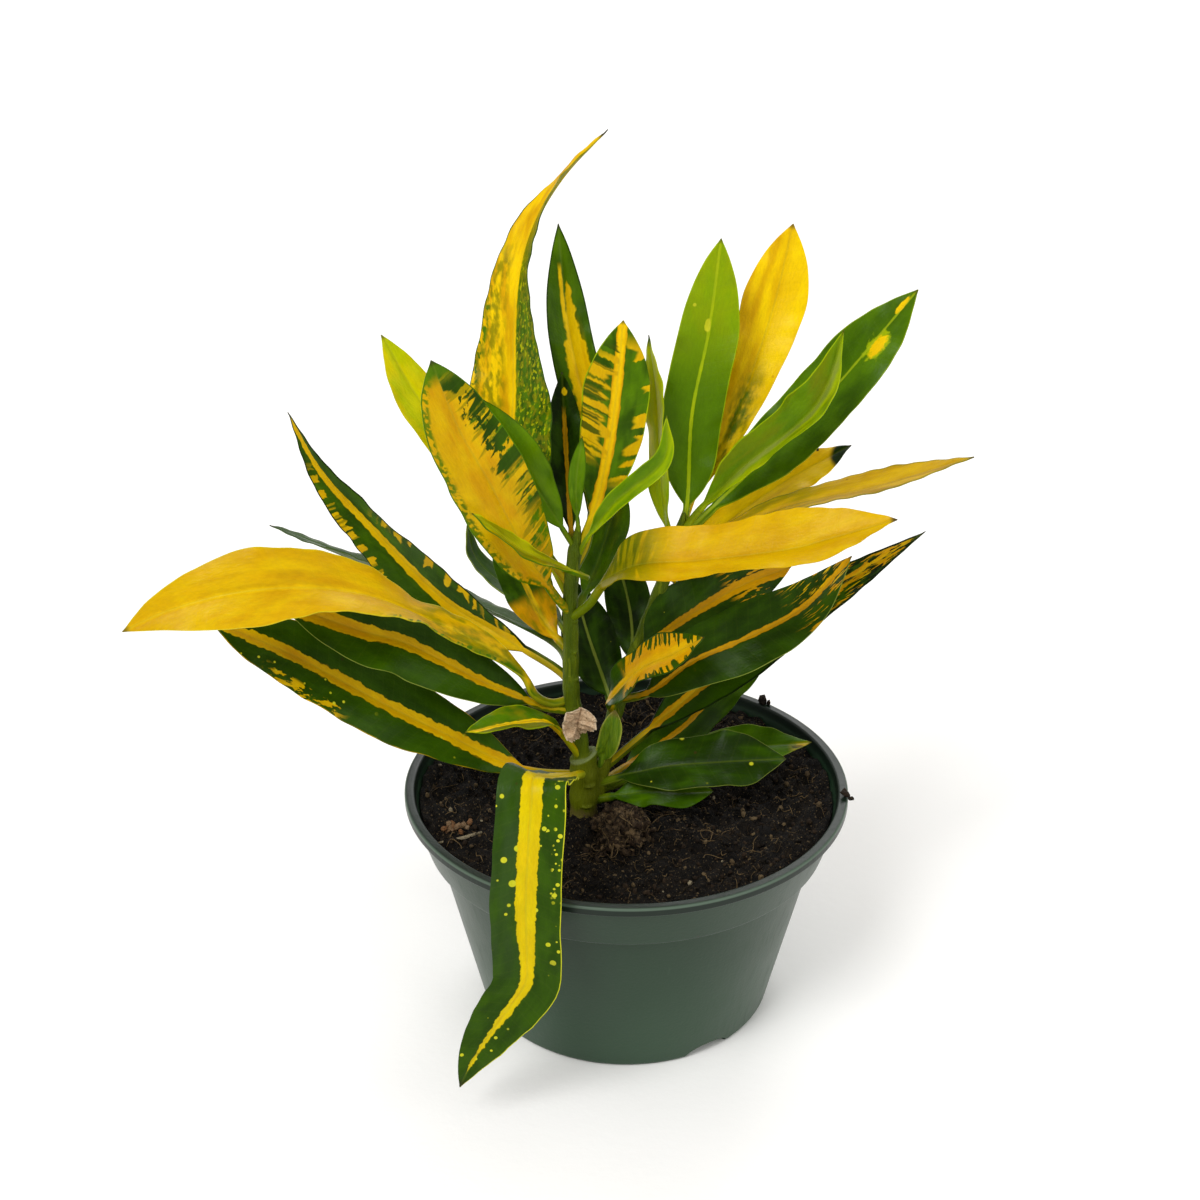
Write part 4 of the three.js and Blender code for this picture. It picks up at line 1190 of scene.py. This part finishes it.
class BladePaint(Surface):
    """Paints a leaf by place on its blade. Every mask is 1 where its mark is."""

    def __init__(self, name, length, seed):
        super().__init__(name)
        self.seed = seed
        self.draws = 0
        self.length = length
        self.across, self.share, self.half = self.field("blade")
        self.underside = self.field("end")[0]
        self.x = self.across * self.half
        self.off = abs(self.x)
        self.run = self.share * length
        self.vein = self.run - self.off * VEIN_LEAN
        self.inset = self.half - self.off
        self.cloud = self.grain(self.vein / 9, self.x / 4, seed * LEAF_STRIDE)

    def own(self):
        """A number that makes each noise of each leaf different."""
        self.draws += 1
        return self.seed * LEAF_STRIDE + self.draws * NOISE_STRIDE

    def tones(self, name):
        first, second = TONES[name]
        return self.mixed(first, second, self.cloud.step(0.9))

    def noise(self, along, across, detail=2.0):
        return self.grain(self.vein / along, self.x / across, self.own(), detail)

    def over(self, noise, cover, soft):
        """1 where the noise is highest, on about this share of the blade."""
        return (noise + (cover - 0.5) * 2 * COVER_RISE).step(soft)

    def clouds(self, along, across, cover, soft=0.6):
        """Soft patches of about this size in millimetres, on this share of the blade."""
        return self.over(self.noise(along, across), cover, soft)

    def blotches(self, along, across, cover):
        """Patches with crisp, ragged outlines."""
        return self.over(self.noise(along, across, 3.0), cover, 0.1)

    def window(self, start, end, soft=0.05):
        """The stretch between two shares of the blade's length."""
        return (self.share - start).step(soft) * (end - self.share).step(soft)

    def side(self, sign, soft=0.4):
        """One half of the blade: 1 is right of the midrib, looking from the stalk to the tip."""
        return (self.x * sign).step(soft)

    def midrib(self, foot, tip, ragged=0.25, at=0.0, soft=0.12):
        """A band along the midrib with these half widths in millimetres at its two ends."""
        edge = self.noise(2.2, 30) * ragged
        return (self.share * (tip - foot) + foot + edge - abs(self.x - at)).step(soft)

    def teeth(self, sign, reach, pitch, cover, soft=0.15):
        """Bars that run in along the side veins from one margin, of uneven length and width."""
        bars = self.grain(self.vein / pitch + self.noise(3, 1.2) * 0.12, sign, self.own(), 1.0)
        length = reach * (1 + 0.8 * self.grain(self.vein / (1.3 * pitch), sign, self.own()))
        return self.over(bars, cover, 0.12) * (length - self.inset).step(soft) * self.side(sign, 0.1)

    def dots(self, pitch, radius, keep):
        """Round specks of uneven size, spaced at about this pitch."""
        seat = self.own()
        near, pick = self.cells(self.run / pitch, self.x / pitch + seat, seat)
        size = (pick - (1 - keep)) * (radius / pitch / keep)
        return (size - near + 0.03).step(0.03)

    def spot(self, share, x, length, width):
        """One patch with a soft, uneven outline, at this share of the blade and this far across."""
        down = (self.share - share) * (self.length / length)
        over = (self.x - x) / width
        away = (down * down + over * over).feed("POWER", 0.5)
        return (0.5 - away + self.noise(1.6, 1.2, 3.0) * 0.2).step(0.1)

    def rim(self, width):
        """A thin line along the margin."""
        return (width - self.inset + self.noise(5, 5) * 0.03).step(0.06)


def leaf_material(name, length, look, seed):
    """Paints one leaf: its ground colour, its own marks, and then what all the leaves share."""
    paint = BladePaint(name, length, seed)
    ground, marks = look
    paint.paint(paint.tones(ground))
    for colour, mask in marks(paint):
        paint.paint(paint.tones(colour), mask)
    fleck = paint.noise(1.4, 0.5, 4.0)
    paint.paint(TONES["deep"][0], fleck.step(1.6) * 0.16)
    rows = (paint.vein / VEIN_PITCH + paint.noise(9, 9) * 0.1).feed("PINGPONG", 0.5)
    line = (rows - 0.44).step(0.05)
    paint.paint(TONES["pale"][0], line * 0.015)
    paint.paint(TONES["pale"][1], (0.26 - paint.off).step(0.12) * 0.15)
    paint.paint(paint.tones("stalk"), (-0.01 - paint.share).step(0.03) * 0.5)
    paint.paint(TONES["stalk"][1], paint.underside * 0.3)
    paint.paint(TONES["brown"][0], paint.dots(7, 0.22, 0.3) * 0.5)
    paint.paint(TONES["brown"][1], (paint.share - 0.985).step(0.01) * 0.7)
    roughness = fleck * 0.04 + paint.underside * 0.16 + LEAF_ROUGHNESS
    relief = fleck * 0.14 - line * 0.08 + paint.noise(0.5, 0.5, 3.0) * 0.1
    return paint.finish(roughness, relief, LEAF_RELIEF, LEAF_GLOSS)


# What is painted on each leaf: its ground colour, and a function of its paint that lists its marks in order.
# Each mark is a colour and where it lies.
LOOKS = {
    "leaf_left_long_yellow": ("yellow", lambda b: [
        ("ochre", b.clouds(16, 3.5, 0.5) * b.side(1, 2.0) * b.window(0.1, 0.85, 0.1) * 0.5),
        ("orange", b.clouds(10, 2.5, 0.45) * 0.4),
        ("bright", b.midrib(0.6, 0.4, 0.2, soft=0.5) * 0.5),
        ("olive", b.clouds(4, 1.6, 0.5) * b.window(-0.1, 0.34, 0.08) * 0.8),
        ("green", b.window(-0.3, 0.2, 0.06) * b.side(-1, 1.0) * b.clouds(7, 5, 0.8)),
        ("green", b.window(0.1, 0.42, 0.05) * b.teeth(-1, 1.2, 2.0, 0.5)),
        ("cream", b.rim(0.2) * 0.5),
    ]),
    "leaf_left_upper_dark": ("dark", lambda b: [
        ("green", b.clouds(12, 4, 0.4) * 0.5),
        ("yellow", b.midrib(2.2, 0.5, 0.25)),
        ("yellow", b.teeth(-1, 2.0, 2.2, 0.5) * b.window(0.42, 0.82)),
        ("yellow", b.teeth(1, 2.8, 3.0, 0.5) * b.window(0.08, 0.6)),
        ("cream", b.dots(4.5, 0.55, 0.35) * b.window(0.0, 0.45)),
        ("deep", b.rim(0.3)),
    ]),
    "leaf_left_back_thin": ("dark", lambda b: [
        # Painted sheen: soft grey patches.
        ("sheen_grey", b.clouds(14, 3, 0.5) * 0.4),
    ]),
    "leaf_left_lowest_dark": ("dark", lambda b: [
        ("yellow", b.midrib(1.9, 1.4, 0.5)),
        ("orange", b.midrib(1.6, 1.1, 0.5, soft=0.5) * b.clouds(9, 3, 0.5) * 0.7),
        ("yellow", b.blotches(2.4, 1.3, 0.4) * b.side(-1) * b.window(0.56, 0.8, 0.03)
            * (3.4 - b.inset).step(0.5)),
        ("cream", b.dots(2.2, 0.55, 0.5) * b.side(-1) * b.window(0.5, 0.98)),
        ("cream", b.dots(5, 0.6, 0.35)),
        ("yellow", b.rim(0.2) * b.clouds(8, 8, 0.4)),
    ]),
    "leaf_left_middle_dark": ("dark", lambda b: [
        ("yellow", b.midrib(0.7, 2.5, 0.4)),
        ("orange", b.midrib(0.5, 2.2, 0.4, soft=0.5) * b.clouds(9, 3, 0.5) * 0.7),
        ("orange", b.dots(4.0, 1.3, 0.5) * b.side(1) * b.window(0.3, 0.95)),
        ("cream", b.dots(6, 0.5, 0.25)),
        ("pale", b.rim(0.16) * b.side(-1) * 0.8),
    ]),
    "leaf_front_hanging": ("dark", lambda b: [
        # Painted sheen: grey patches on the right half of the blade.
        ("sheen_grey", b.side(1, 1.0) * b.window(0.2, 0.7, 0.1) * b.clouds(22, 5, 0.8) * 0.3),
        ("cream", b.dots(3.0, 0.95, 0.6) * b.side(1) * b.window(0.0, 0.64) * 0.9),
        ("cream", b.dots(2.4, 0.75, 0.6) * b.side(-1) * b.window(-0.1, 0.7) * 0.9),
        ("cream", b.dots(1.3, 0.55, 0.7) * (2.4 - b.inset).step(0.5) * b.side(-1) * b.window(0.16, 0.56)),
        ("cream", b.dots(2.0, 0.5, 0.4) * b.window(0.84, 1.0)),
        ("gold", (2.5 - b.off + b.noise(1.6, 9) * 0.35).step(0.12)
            * ((0.97 - b.share) * 6.5 + b.noise(2, 9) * 0.4 - b.off).step(0.15)),
        ("bright", (1.8 - b.off).step(1.2) * ((0.97 - b.share) * 5 - b.off).step(0.3)
            * b.clouds(9, 3, 0.4) * 0.35),
        ("orange", (0.12 - abs(b.x - 0.3)).step(0.1) * b.clouds(5, 9, 0.5) * b.window(-0.2, 0.9) * 0.4),
        ("cream", b.rim(0.22) * b.side(-1)),
    ]),
    "leaf_front_small_olive": ("olive", lambda b: [
        ("green", b.side(1, 0.6) * b.clouds(6, 3, 0.7)),
        ("bright", b.midrib(1.4, 0.6, 0.2, at=-0.7)),
        ("orange", b.midrib(0.5, 0.2, 0.1, at=-0.7) * 0.7),
        ("lime", b.rim(0.2) * 0.6),
    ]),
    "leaf_head_broad_blotched": ("yellow", lambda b: [
        ("orange", b.clouds(9, 3, 0.55) * b.midrib(5, 4, 0.5, soft=2.0) * 0.8),
        ("olive", b.teeth(1, 5.4, 1.6, 0.5, 0.8) * 0.6),
        ("green", b.teeth(1, 4.2, 1.9, 0.5, 0.6) * b.clouds(2, 1.4, 0.65)),
        ("dark", b.teeth(1, 5.0, 2.0, 0.5, 0.5) * b.window(0.35, 0.95)),
        ("dark", b.blotches(2.2, 1.8, 0.3) * b.side(1) * b.window(0.55, 0.9) * (b.off - 1.6).step(0.5)),
        ("green", b.clouds(1.4, 1.2, 0.5, 0.3) * (1.9 - b.inset).step(0.6) * b.side(-1) * 0.9),
        ("green", b.window(0.93, 1.1, 0.03)),
        ("green", b.rim(0.25)),
    ]),
    "leaf_head_crossing_lime": ("olive", lambda b: [
        ("lemon", b.clouds(12, 2.4, 0.6) * 0.5),
        ("orange", b.clouds(12, 1.4, 0.4) * b.side(-1, 1.0) * 0.4),
        ("lemon", b.rim(0.35) * b.side(1) * 0.7),
        ("green", b.rim(0.2) * b.side(-1)),
    ]),
    "leaf_head_dark_sickle": ("dark", lambda b: [
        # Painted sheen: soft grey patches.
        ("sheen_grey", b.clouds(9, 2, 0.5) * 0.5),
        ("pale", b.rim(0.25) * 0.8),
    ]),
    "leaf_head_back_lime": ("lemon", lambda b: [
        ("lime", b.clouds(14, 4, 0.6) * 0.7),
        ("bright", b.clouds(8, 3, 0.4) * 0.4),
    ]),
    "leaf_head_tallest": ("bright", lambda b: [
        ("orange", b.clouds(12, 2.0, 0.45) * b.side(-1, 1.0) * 0.8),
        ("olive", b.clouds(2.4, 1.2, 0.5) * b.side(-1) * (b.off - 2.2).step(1.0) * b.window(0.0, 0.66) * 0.8),
        ("green", b.clouds(1.4, 1.0, 0.42, 0.3) * (1.9 - b.inset).step(0.8) * b.side(-1)
            * b.window(-0.1, 0.56)),
        ("green", b.side(1, 0.3) * (b.off - 0.9 + b.noise(3, 9) * 0.3).step(0.3) * b.window(-0.2, 0.7, 0.04)),
        ("dark", b.side(1, 0.3) * (b.off - 1.4).step(0.6) * b.clouds(3, 1.6, 0.5)
            * b.window(-0.2, 0.68, 0.04) * 0.8),
        ("lemon", b.side(1) * b.clouds(1.3, 0.9, 0.28, 0.2) * b.window(-0.1, 0.66)
            * (b.off - 1).step(0.3) * 0.6),
        ("olive", b.side(1) * b.clouds(1.6, 0.9, 0.4, 0.3) * (b.off - 1).step(0.3) * 0.8),
        ("olive", b.side(1, 0.5) * b.window(0.66, 0.97, 0.05) * (b.off - 0.3).step(0.3) * 0.8),
        ("dark", b.rim(0.2) * b.window(-0.1, 0.8)),
        ("brown", b.window(0.975, 1.1, 0.01)),
    ]),
    "leaf_head_back_green": ("green", lambda b: [
        ("dark", b.clouds(9, 3, 0.4) * 0.5),
        ("bright", (2.9 + b.noise(2.4, 2) * 0.6 - abs(b.x - 0.8)).step(0.3)
            * ((0.79 - b.share) * 13 + b.noise(3, 3) * 0.8 - abs(b.x - 0.8)).step(0.3)),
        ("orange", (2.0 - abs(b.x - 1.2)).step(1.0) * b.window(-0.2, 0.66, 0.06) * b.clouds(9, 3, 0.5) * 0.6),
        ("bright", (0.45 - abs(b.x + 0.7) + b.noise(3, 9) * 0.2).step(0.2) * b.window(0.68, 0.86, 0.02)),
        ("dark", b.rim(0.4)),
    ]),
    "leaf_head_small_dark": ("dark", lambda b: [
        ("deep", b.clouds(6, 3, 0.5)),
        ("orange", b.midrib(0.5, 0.5, 0.2) * b.window(0.0, 0.75)),
        ("bright", b.spot(0.88, 0.3, 2.2, 1.2)),
    ]),
    "leaf_head_centre_blotched": ("green", lambda b: [
        ("dark", b.clouds(7, 3, 0.45) * 0.8),
        ("orange", b.midrib(1.4, 1.2, 0.2)),
        ("bright", b.midrib(1.0, 0.9, 0.15, soft=0.4) * 0.8),
        ("yellow", b.teeth(-1, 6.5, 3.0, 0.56, 0.8) * b.window(0.3, 0.84) * (b.inset - 0.3).step(0.3)),
        ("dark", b.teeth(-1, 4.5, 1.7, 0.4, 0.5) * b.window(0.3, 0.9) * 0.9),
        ("yellow", b.teeth(1, 3.0, 3.2, 0.46, 0.6) * b.window(0.2, 0.9)),
        ("lime", b.rim(0.25) * b.clouds(6, 9, 0.5)),
    ]),
    "leaf_head_young_left": ("green", lambda b: [
        ("fresh", b.clouds(12, 3, 0.5) * 0.8),
        ("dark", b.rim(0.25) * 0.5),
    ]),
    "leaf_head_bud": ("green", lambda b: [
        ("fresh", b.clouds(6, 1.5, 0.5)),
        ("dark", b.rim(0.2) * 0.5),
    ]),
    "leaf_head_young_right": ("fresh", lambda b: [
        ("lime", b.side(1, 1.0) * b.clouds(12, 3, 0.6) * 0.6),
        ("green", b.side(-1, 1.0) * b.clouds(9, 3, 0.55) * 0.7),
        ("lime", b.rim(0.25) * 0.7),
    ]),
    "leaf_head_back_right": ("green", lambda b: [
        ("olive", b.clouds(8, 3, 0.4) * 0.4),
        ("dark", b.clouds(10, 3, 0.55) * 0.7),
        ("dark", b.window(0.85, 1.1, 0.06) * 0.7),
    ]),
    "leaf_head_back_orange": ("dark", lambda b: [
        ("orange", b.window(-0.3, 0.42, 0.06)),
        ("yellow", b.midrib(0.9, 0.5, 0.2)),
        ("green", b.clouds(4, 2, 0.35) * 0.6),
    ]),
    "leaf_right_front_yellow": ("yellow", lambda b: [
        ("orange", b.clouds(14, 3, 0.4) * 0.3),
        ("olive", b.clouds(1.6, 9, 0.85) * b.window(-0.3, 0.26, 0.08) * 0.85),
        ("dark", b.clouds(1.2, 9, 0.55, 0.4) * b.window(-0.2, 0.22, 0.05) * b.side(-1, 2.0) * 0.7),
        ("green", b.window(-0.3, 0.0, 0.05) * 0.7),
        ("brown", b.window(0.985, 1.1, 0.01) * 0.7),
    ]),
    "leaf_right_olive_edge": ("lemon", lambda b: [
        ("lime", b.clouds(12, 2, 0.6) * 0.8),
        ("fresh", b.window(-0.3, 0.3, 0.1) * 0.6),
        ("dark", b.window(0.95, 1.1, 0.03)),
    ]),
    "leaf_right_tall_green": ("fresh", lambda b: [
        ("green", b.window(-0.3, 0.55, 0.3) * 0.8),
        ("lime", b.window(0.62, 1.1, 0.2) * 0.5),
        ("lime", b.midrib(0.45, 0.3, 0.08)),
        ("cream", b.dots(5.0, 0.32, 0.3) * 0.8),
        ("cream", b.spot(0.68, -0.4, 3.0, 1.4)),
        ("lime", b.rim(0.25) * 0.7),
    ]),
    "leaf_right_tall_yellow": ("bright", lambda b: [
        ("orange", b.clouds(18, 3, 0.6) * b.side(-1, 3.0) * 0.7),
        ("olive", b.clouds(4, 1.6, 0.5) * b.window(0.12, 0.5, 0.08) * (3 - abs(b.x - 1)).step(1.2) * 0.8),
        ("green", b.spot(0.36, 1.2, 12, 3.4) * b.clouds(3, 1.5, 0.6) * 0.8),
        ("orange", b.dots(3, 0.4, 0.4) * b.window(0.1, 0.6) * 0.6),
    ]),
    "leaf_right_outer_green": ("green", lambda b: [
        ("dark", b.clouds(16, 5, 0.4) * 0.4),
        ("lime", b.midrib(0.4, 0.2, 0.08) * 0.7),
        ("lime", b.spot(0.78, 1.4, 8.0, 4.2) * 0.8),
        ("bright", b.spot(0.78, 1.6, 6.0, 3.0)),
        ("bright", b.spot(0.93, -0.4, 4.5, 1.2)),
        ("cream", b.dots(7.0, 0.5, 0.35)),
        ("lime", b.rim(0.2) * 0.5),
    ]),
    "leaf_right_folded_lime": ("fresh", lambda b: [
        ("olive", b.clouds(14, 3, 0.5) * 0.6),
        ("lime", b.side(1, 1.0) * b.clouds(14, 3, 0.7) * 0.7),
        # Painted sheen: a pale band beside the midrib.
        ("pale", b.midrib(1.3, 0.8, 0.3, at=1.4, soft=0.8) * b.window(0.2, 0.9, 0.1)),
        ("lime", b.rim(0.3) * 0.8),
    ]),
    "leaf_right_thin_yellow": ("ochre", lambda b: [
        ("yellow", b.clouds(20, 2.5, 0.6) * 0.8),
        ("olive", b.clouds(9, 2.5, 0.5) * b.window(-0.3, 0.45, 0.15) * 0.7),
        ("tan", b.midrib(1.2, 0.8, 0.3, soft=0.8) * b.window(0.2, 1.0, 0.1) * 0.6),
        ("olive", b.rim(0.5) * 0.6),
    ]),
    "leaf_right_back_tipped": ("bright", lambda b: [
        ("orange", b.clouds(9, 3, 0.5) * 0.5),
        ("deep", b.window(0.86, 1.1, 0.02) * (b.across * 0.05 + b.share - 0.88).step(0.02)),
        ("brown", b.teeth(-1, 0.9, 2.4, 0.5) * b.window(0.4, 0.9)),
        ("brown", b.dots(7, 0.7, 0.3)),
    ]),
    "leaf_low_dark_upper": ("dark", lambda b: [
        ("deep", b.clouds(9, 4, 0.5) * 0.6),
        ("orange", b.midrib(0.7, 1.9, 0.35)),
        ("orange", b.blotches(5, 0.9, 0.36) * b.window(0.6, 0.98)),
        ("cream", b.dots(6, 0.5, 0.3)),
    ]),
    "leaf_low_dark_middle": ("dark", lambda b: [
        ("deep", b.clouds(12, 5, 0.5) * 0.5),
        ("orange", b.midrib(0.6, 0.7, 0.25)),
        ("orange", b.blotches(6, 0.8, 0.22) * b.window(0.7, 1.0) * (b.off - 1).step(0.6)),
        ("yellow", b.blotches(8, 0.5, 0.24) * b.window(0.72, 1.0)),
        ("orange", b.dots(6, 1.3, 0.3) * b.side(1) * b.window(0.3, 0.7)),
        ("pale", b.rim(0.18) * b.side(1) * 0.8),
    ]),
    "leaf_low_dark_long": ("dark", lambda b: [
        ("orange", b.midrib(1.3, 0.9, 0.3)),
        ("yellow", b.midrib(0.7, 0.6, 0.2, soft=0.4) * 0.7),
        ("orange", b.blotches(6, 0.9, 0.36) * b.window(0.62, 0.97)),
        ("yellow", b.blotches(8, 0.6, 0.34) * b.window(0.68, 0.97)),
        ("deep", b.blotches(5, 0.7, 0.4) * b.window(0.66, 1.0)),
        ("deep", b.rim(0.5)),
        ("deep", b.window(0.96, 1.1, 0.01)),
    ]),
    "leaf_low_dark_lower": ("dark", lambda b: [
        ("green", b.clouds(10, 4, 0.45) * 0.6),
        ("orange", b.midrib(0.8, 0.6, 0.2)),
        ("yellow", b.spot(0.78, 0.5, 6, 2.0)),
    ]),
    "leaf_low_comb_yellow": ("orange", lambda b: [
        ("yellow", b.midrib(1.4, 1.6, 0.3, soft=0.8) * 0.7),
        ("dark", b.teeth(-1, 2.4, 1.3, 0.55) * b.window(0.3, 1.0)),
        ("dark", b.teeth(1, 2.2, 1.3, 0.55) * b.window(0.3, 1.0)),
        ("dark", b.window(-0.3, 0.32, 0.04) * (b.off - 1.1 + b.noise(2, 2) * 0.2).step(0.2)),
        ("dark", b.rim(0.3)),
    ]),
    "leaf_low_green_front": ("dark", lambda b: [
        ("deep", b.clouds(12, 5, 0.65) * 0.8),
        ("cream", b.dots(6, 0.7, 0.45) * 0.8),
        ("pale", b.rim(0.12) * 0.5),
    ]),
    "leaf_low_green_back": ("green", lambda b: [
        ("dark", b.clouds(12, 4, 0.55) * 0.7),
        ("yellow", b.window(0.9, 1.1, 0.03) * b.side(1, 1.0) * b.clouds(3, 2, 0.6) * 0.8),
        ("brown", b.spot(0.93, 1.4, 3, 1.2) * 0.6),
        ("pale", b.rim(0.15) * 0.5),
    ]),
    "leaf_low_green_under": ("green", lambda b: [
        ("dark", b.clouds(10, 4, 0.65) * 0.8),
    ]),
    "leaf_behind_dark_left": ("deep", lambda b: [
        ("dark", b.clouds(8, 4, 0.5)),
        ("pale", b.midrib(0.45, 0.25, 0.08) * 0.8),
        ("cream", b.dots(4.5, 0.35, 0.35)),
    ]),
    "leaf_behind_dark_right": ("deep", lambda b: [
        ("dark", b.clouds(8, 4, 0.5)),
        ("pale", b.midrib(0.4, 0.25, 0.08) * 0.7),
        ("cream", b.dots(4.5, 0.35, 0.3)),
    ]),
}


def add_leaves():
    for number, (name, leaf) in enumerate(LEAVES.items(), 1):
        points, faces, marks, ends, length = blade(leaf, number)
        material = leaf_material("paint_" + name, length, LOOKS[name], number)
        add_piece("blade_" + name.removeprefix("leaf_"), points, faces, material, name, blade=marks, end=ends)


def floor_material():
    surface = Surface("studio_floor")
    x, y, _ = surface.place
    surface.paint((250, 249, 247))
    surface.paint((243, 242, 240), surface.grain(x / 90, y / 90, 0).step(1.0) * 0.5)
    roughness = surface.grain(x / 20, y / 20, 4) * 0.05 + 0.7
    return surface.finish(roughness, surface.grain(x / 3, y / 3, 8), 0.02)


def add_floor():
    """A wide pale floor that the pot stands on."""
    mesh = bpy.data.meshes.new("studio_floor")
    corners = [(x * FLOOR_HALF_M, y * FLOOR_HALF_M, 0) for x, y in ((-1, -1), (1, -1), (1, 1), (-1, 1))]
    mesh.from_pydata(corners, [], [(0, 1, 2, 3)])
    mesh.materials.append(floor_material())
    floor = add_object("studio_floor", mesh)


add_camera()
add_studio()
add_floor()
add_pot()
add_soil()
add_lump()
add_stems()
add_scraps()
add_leaves()
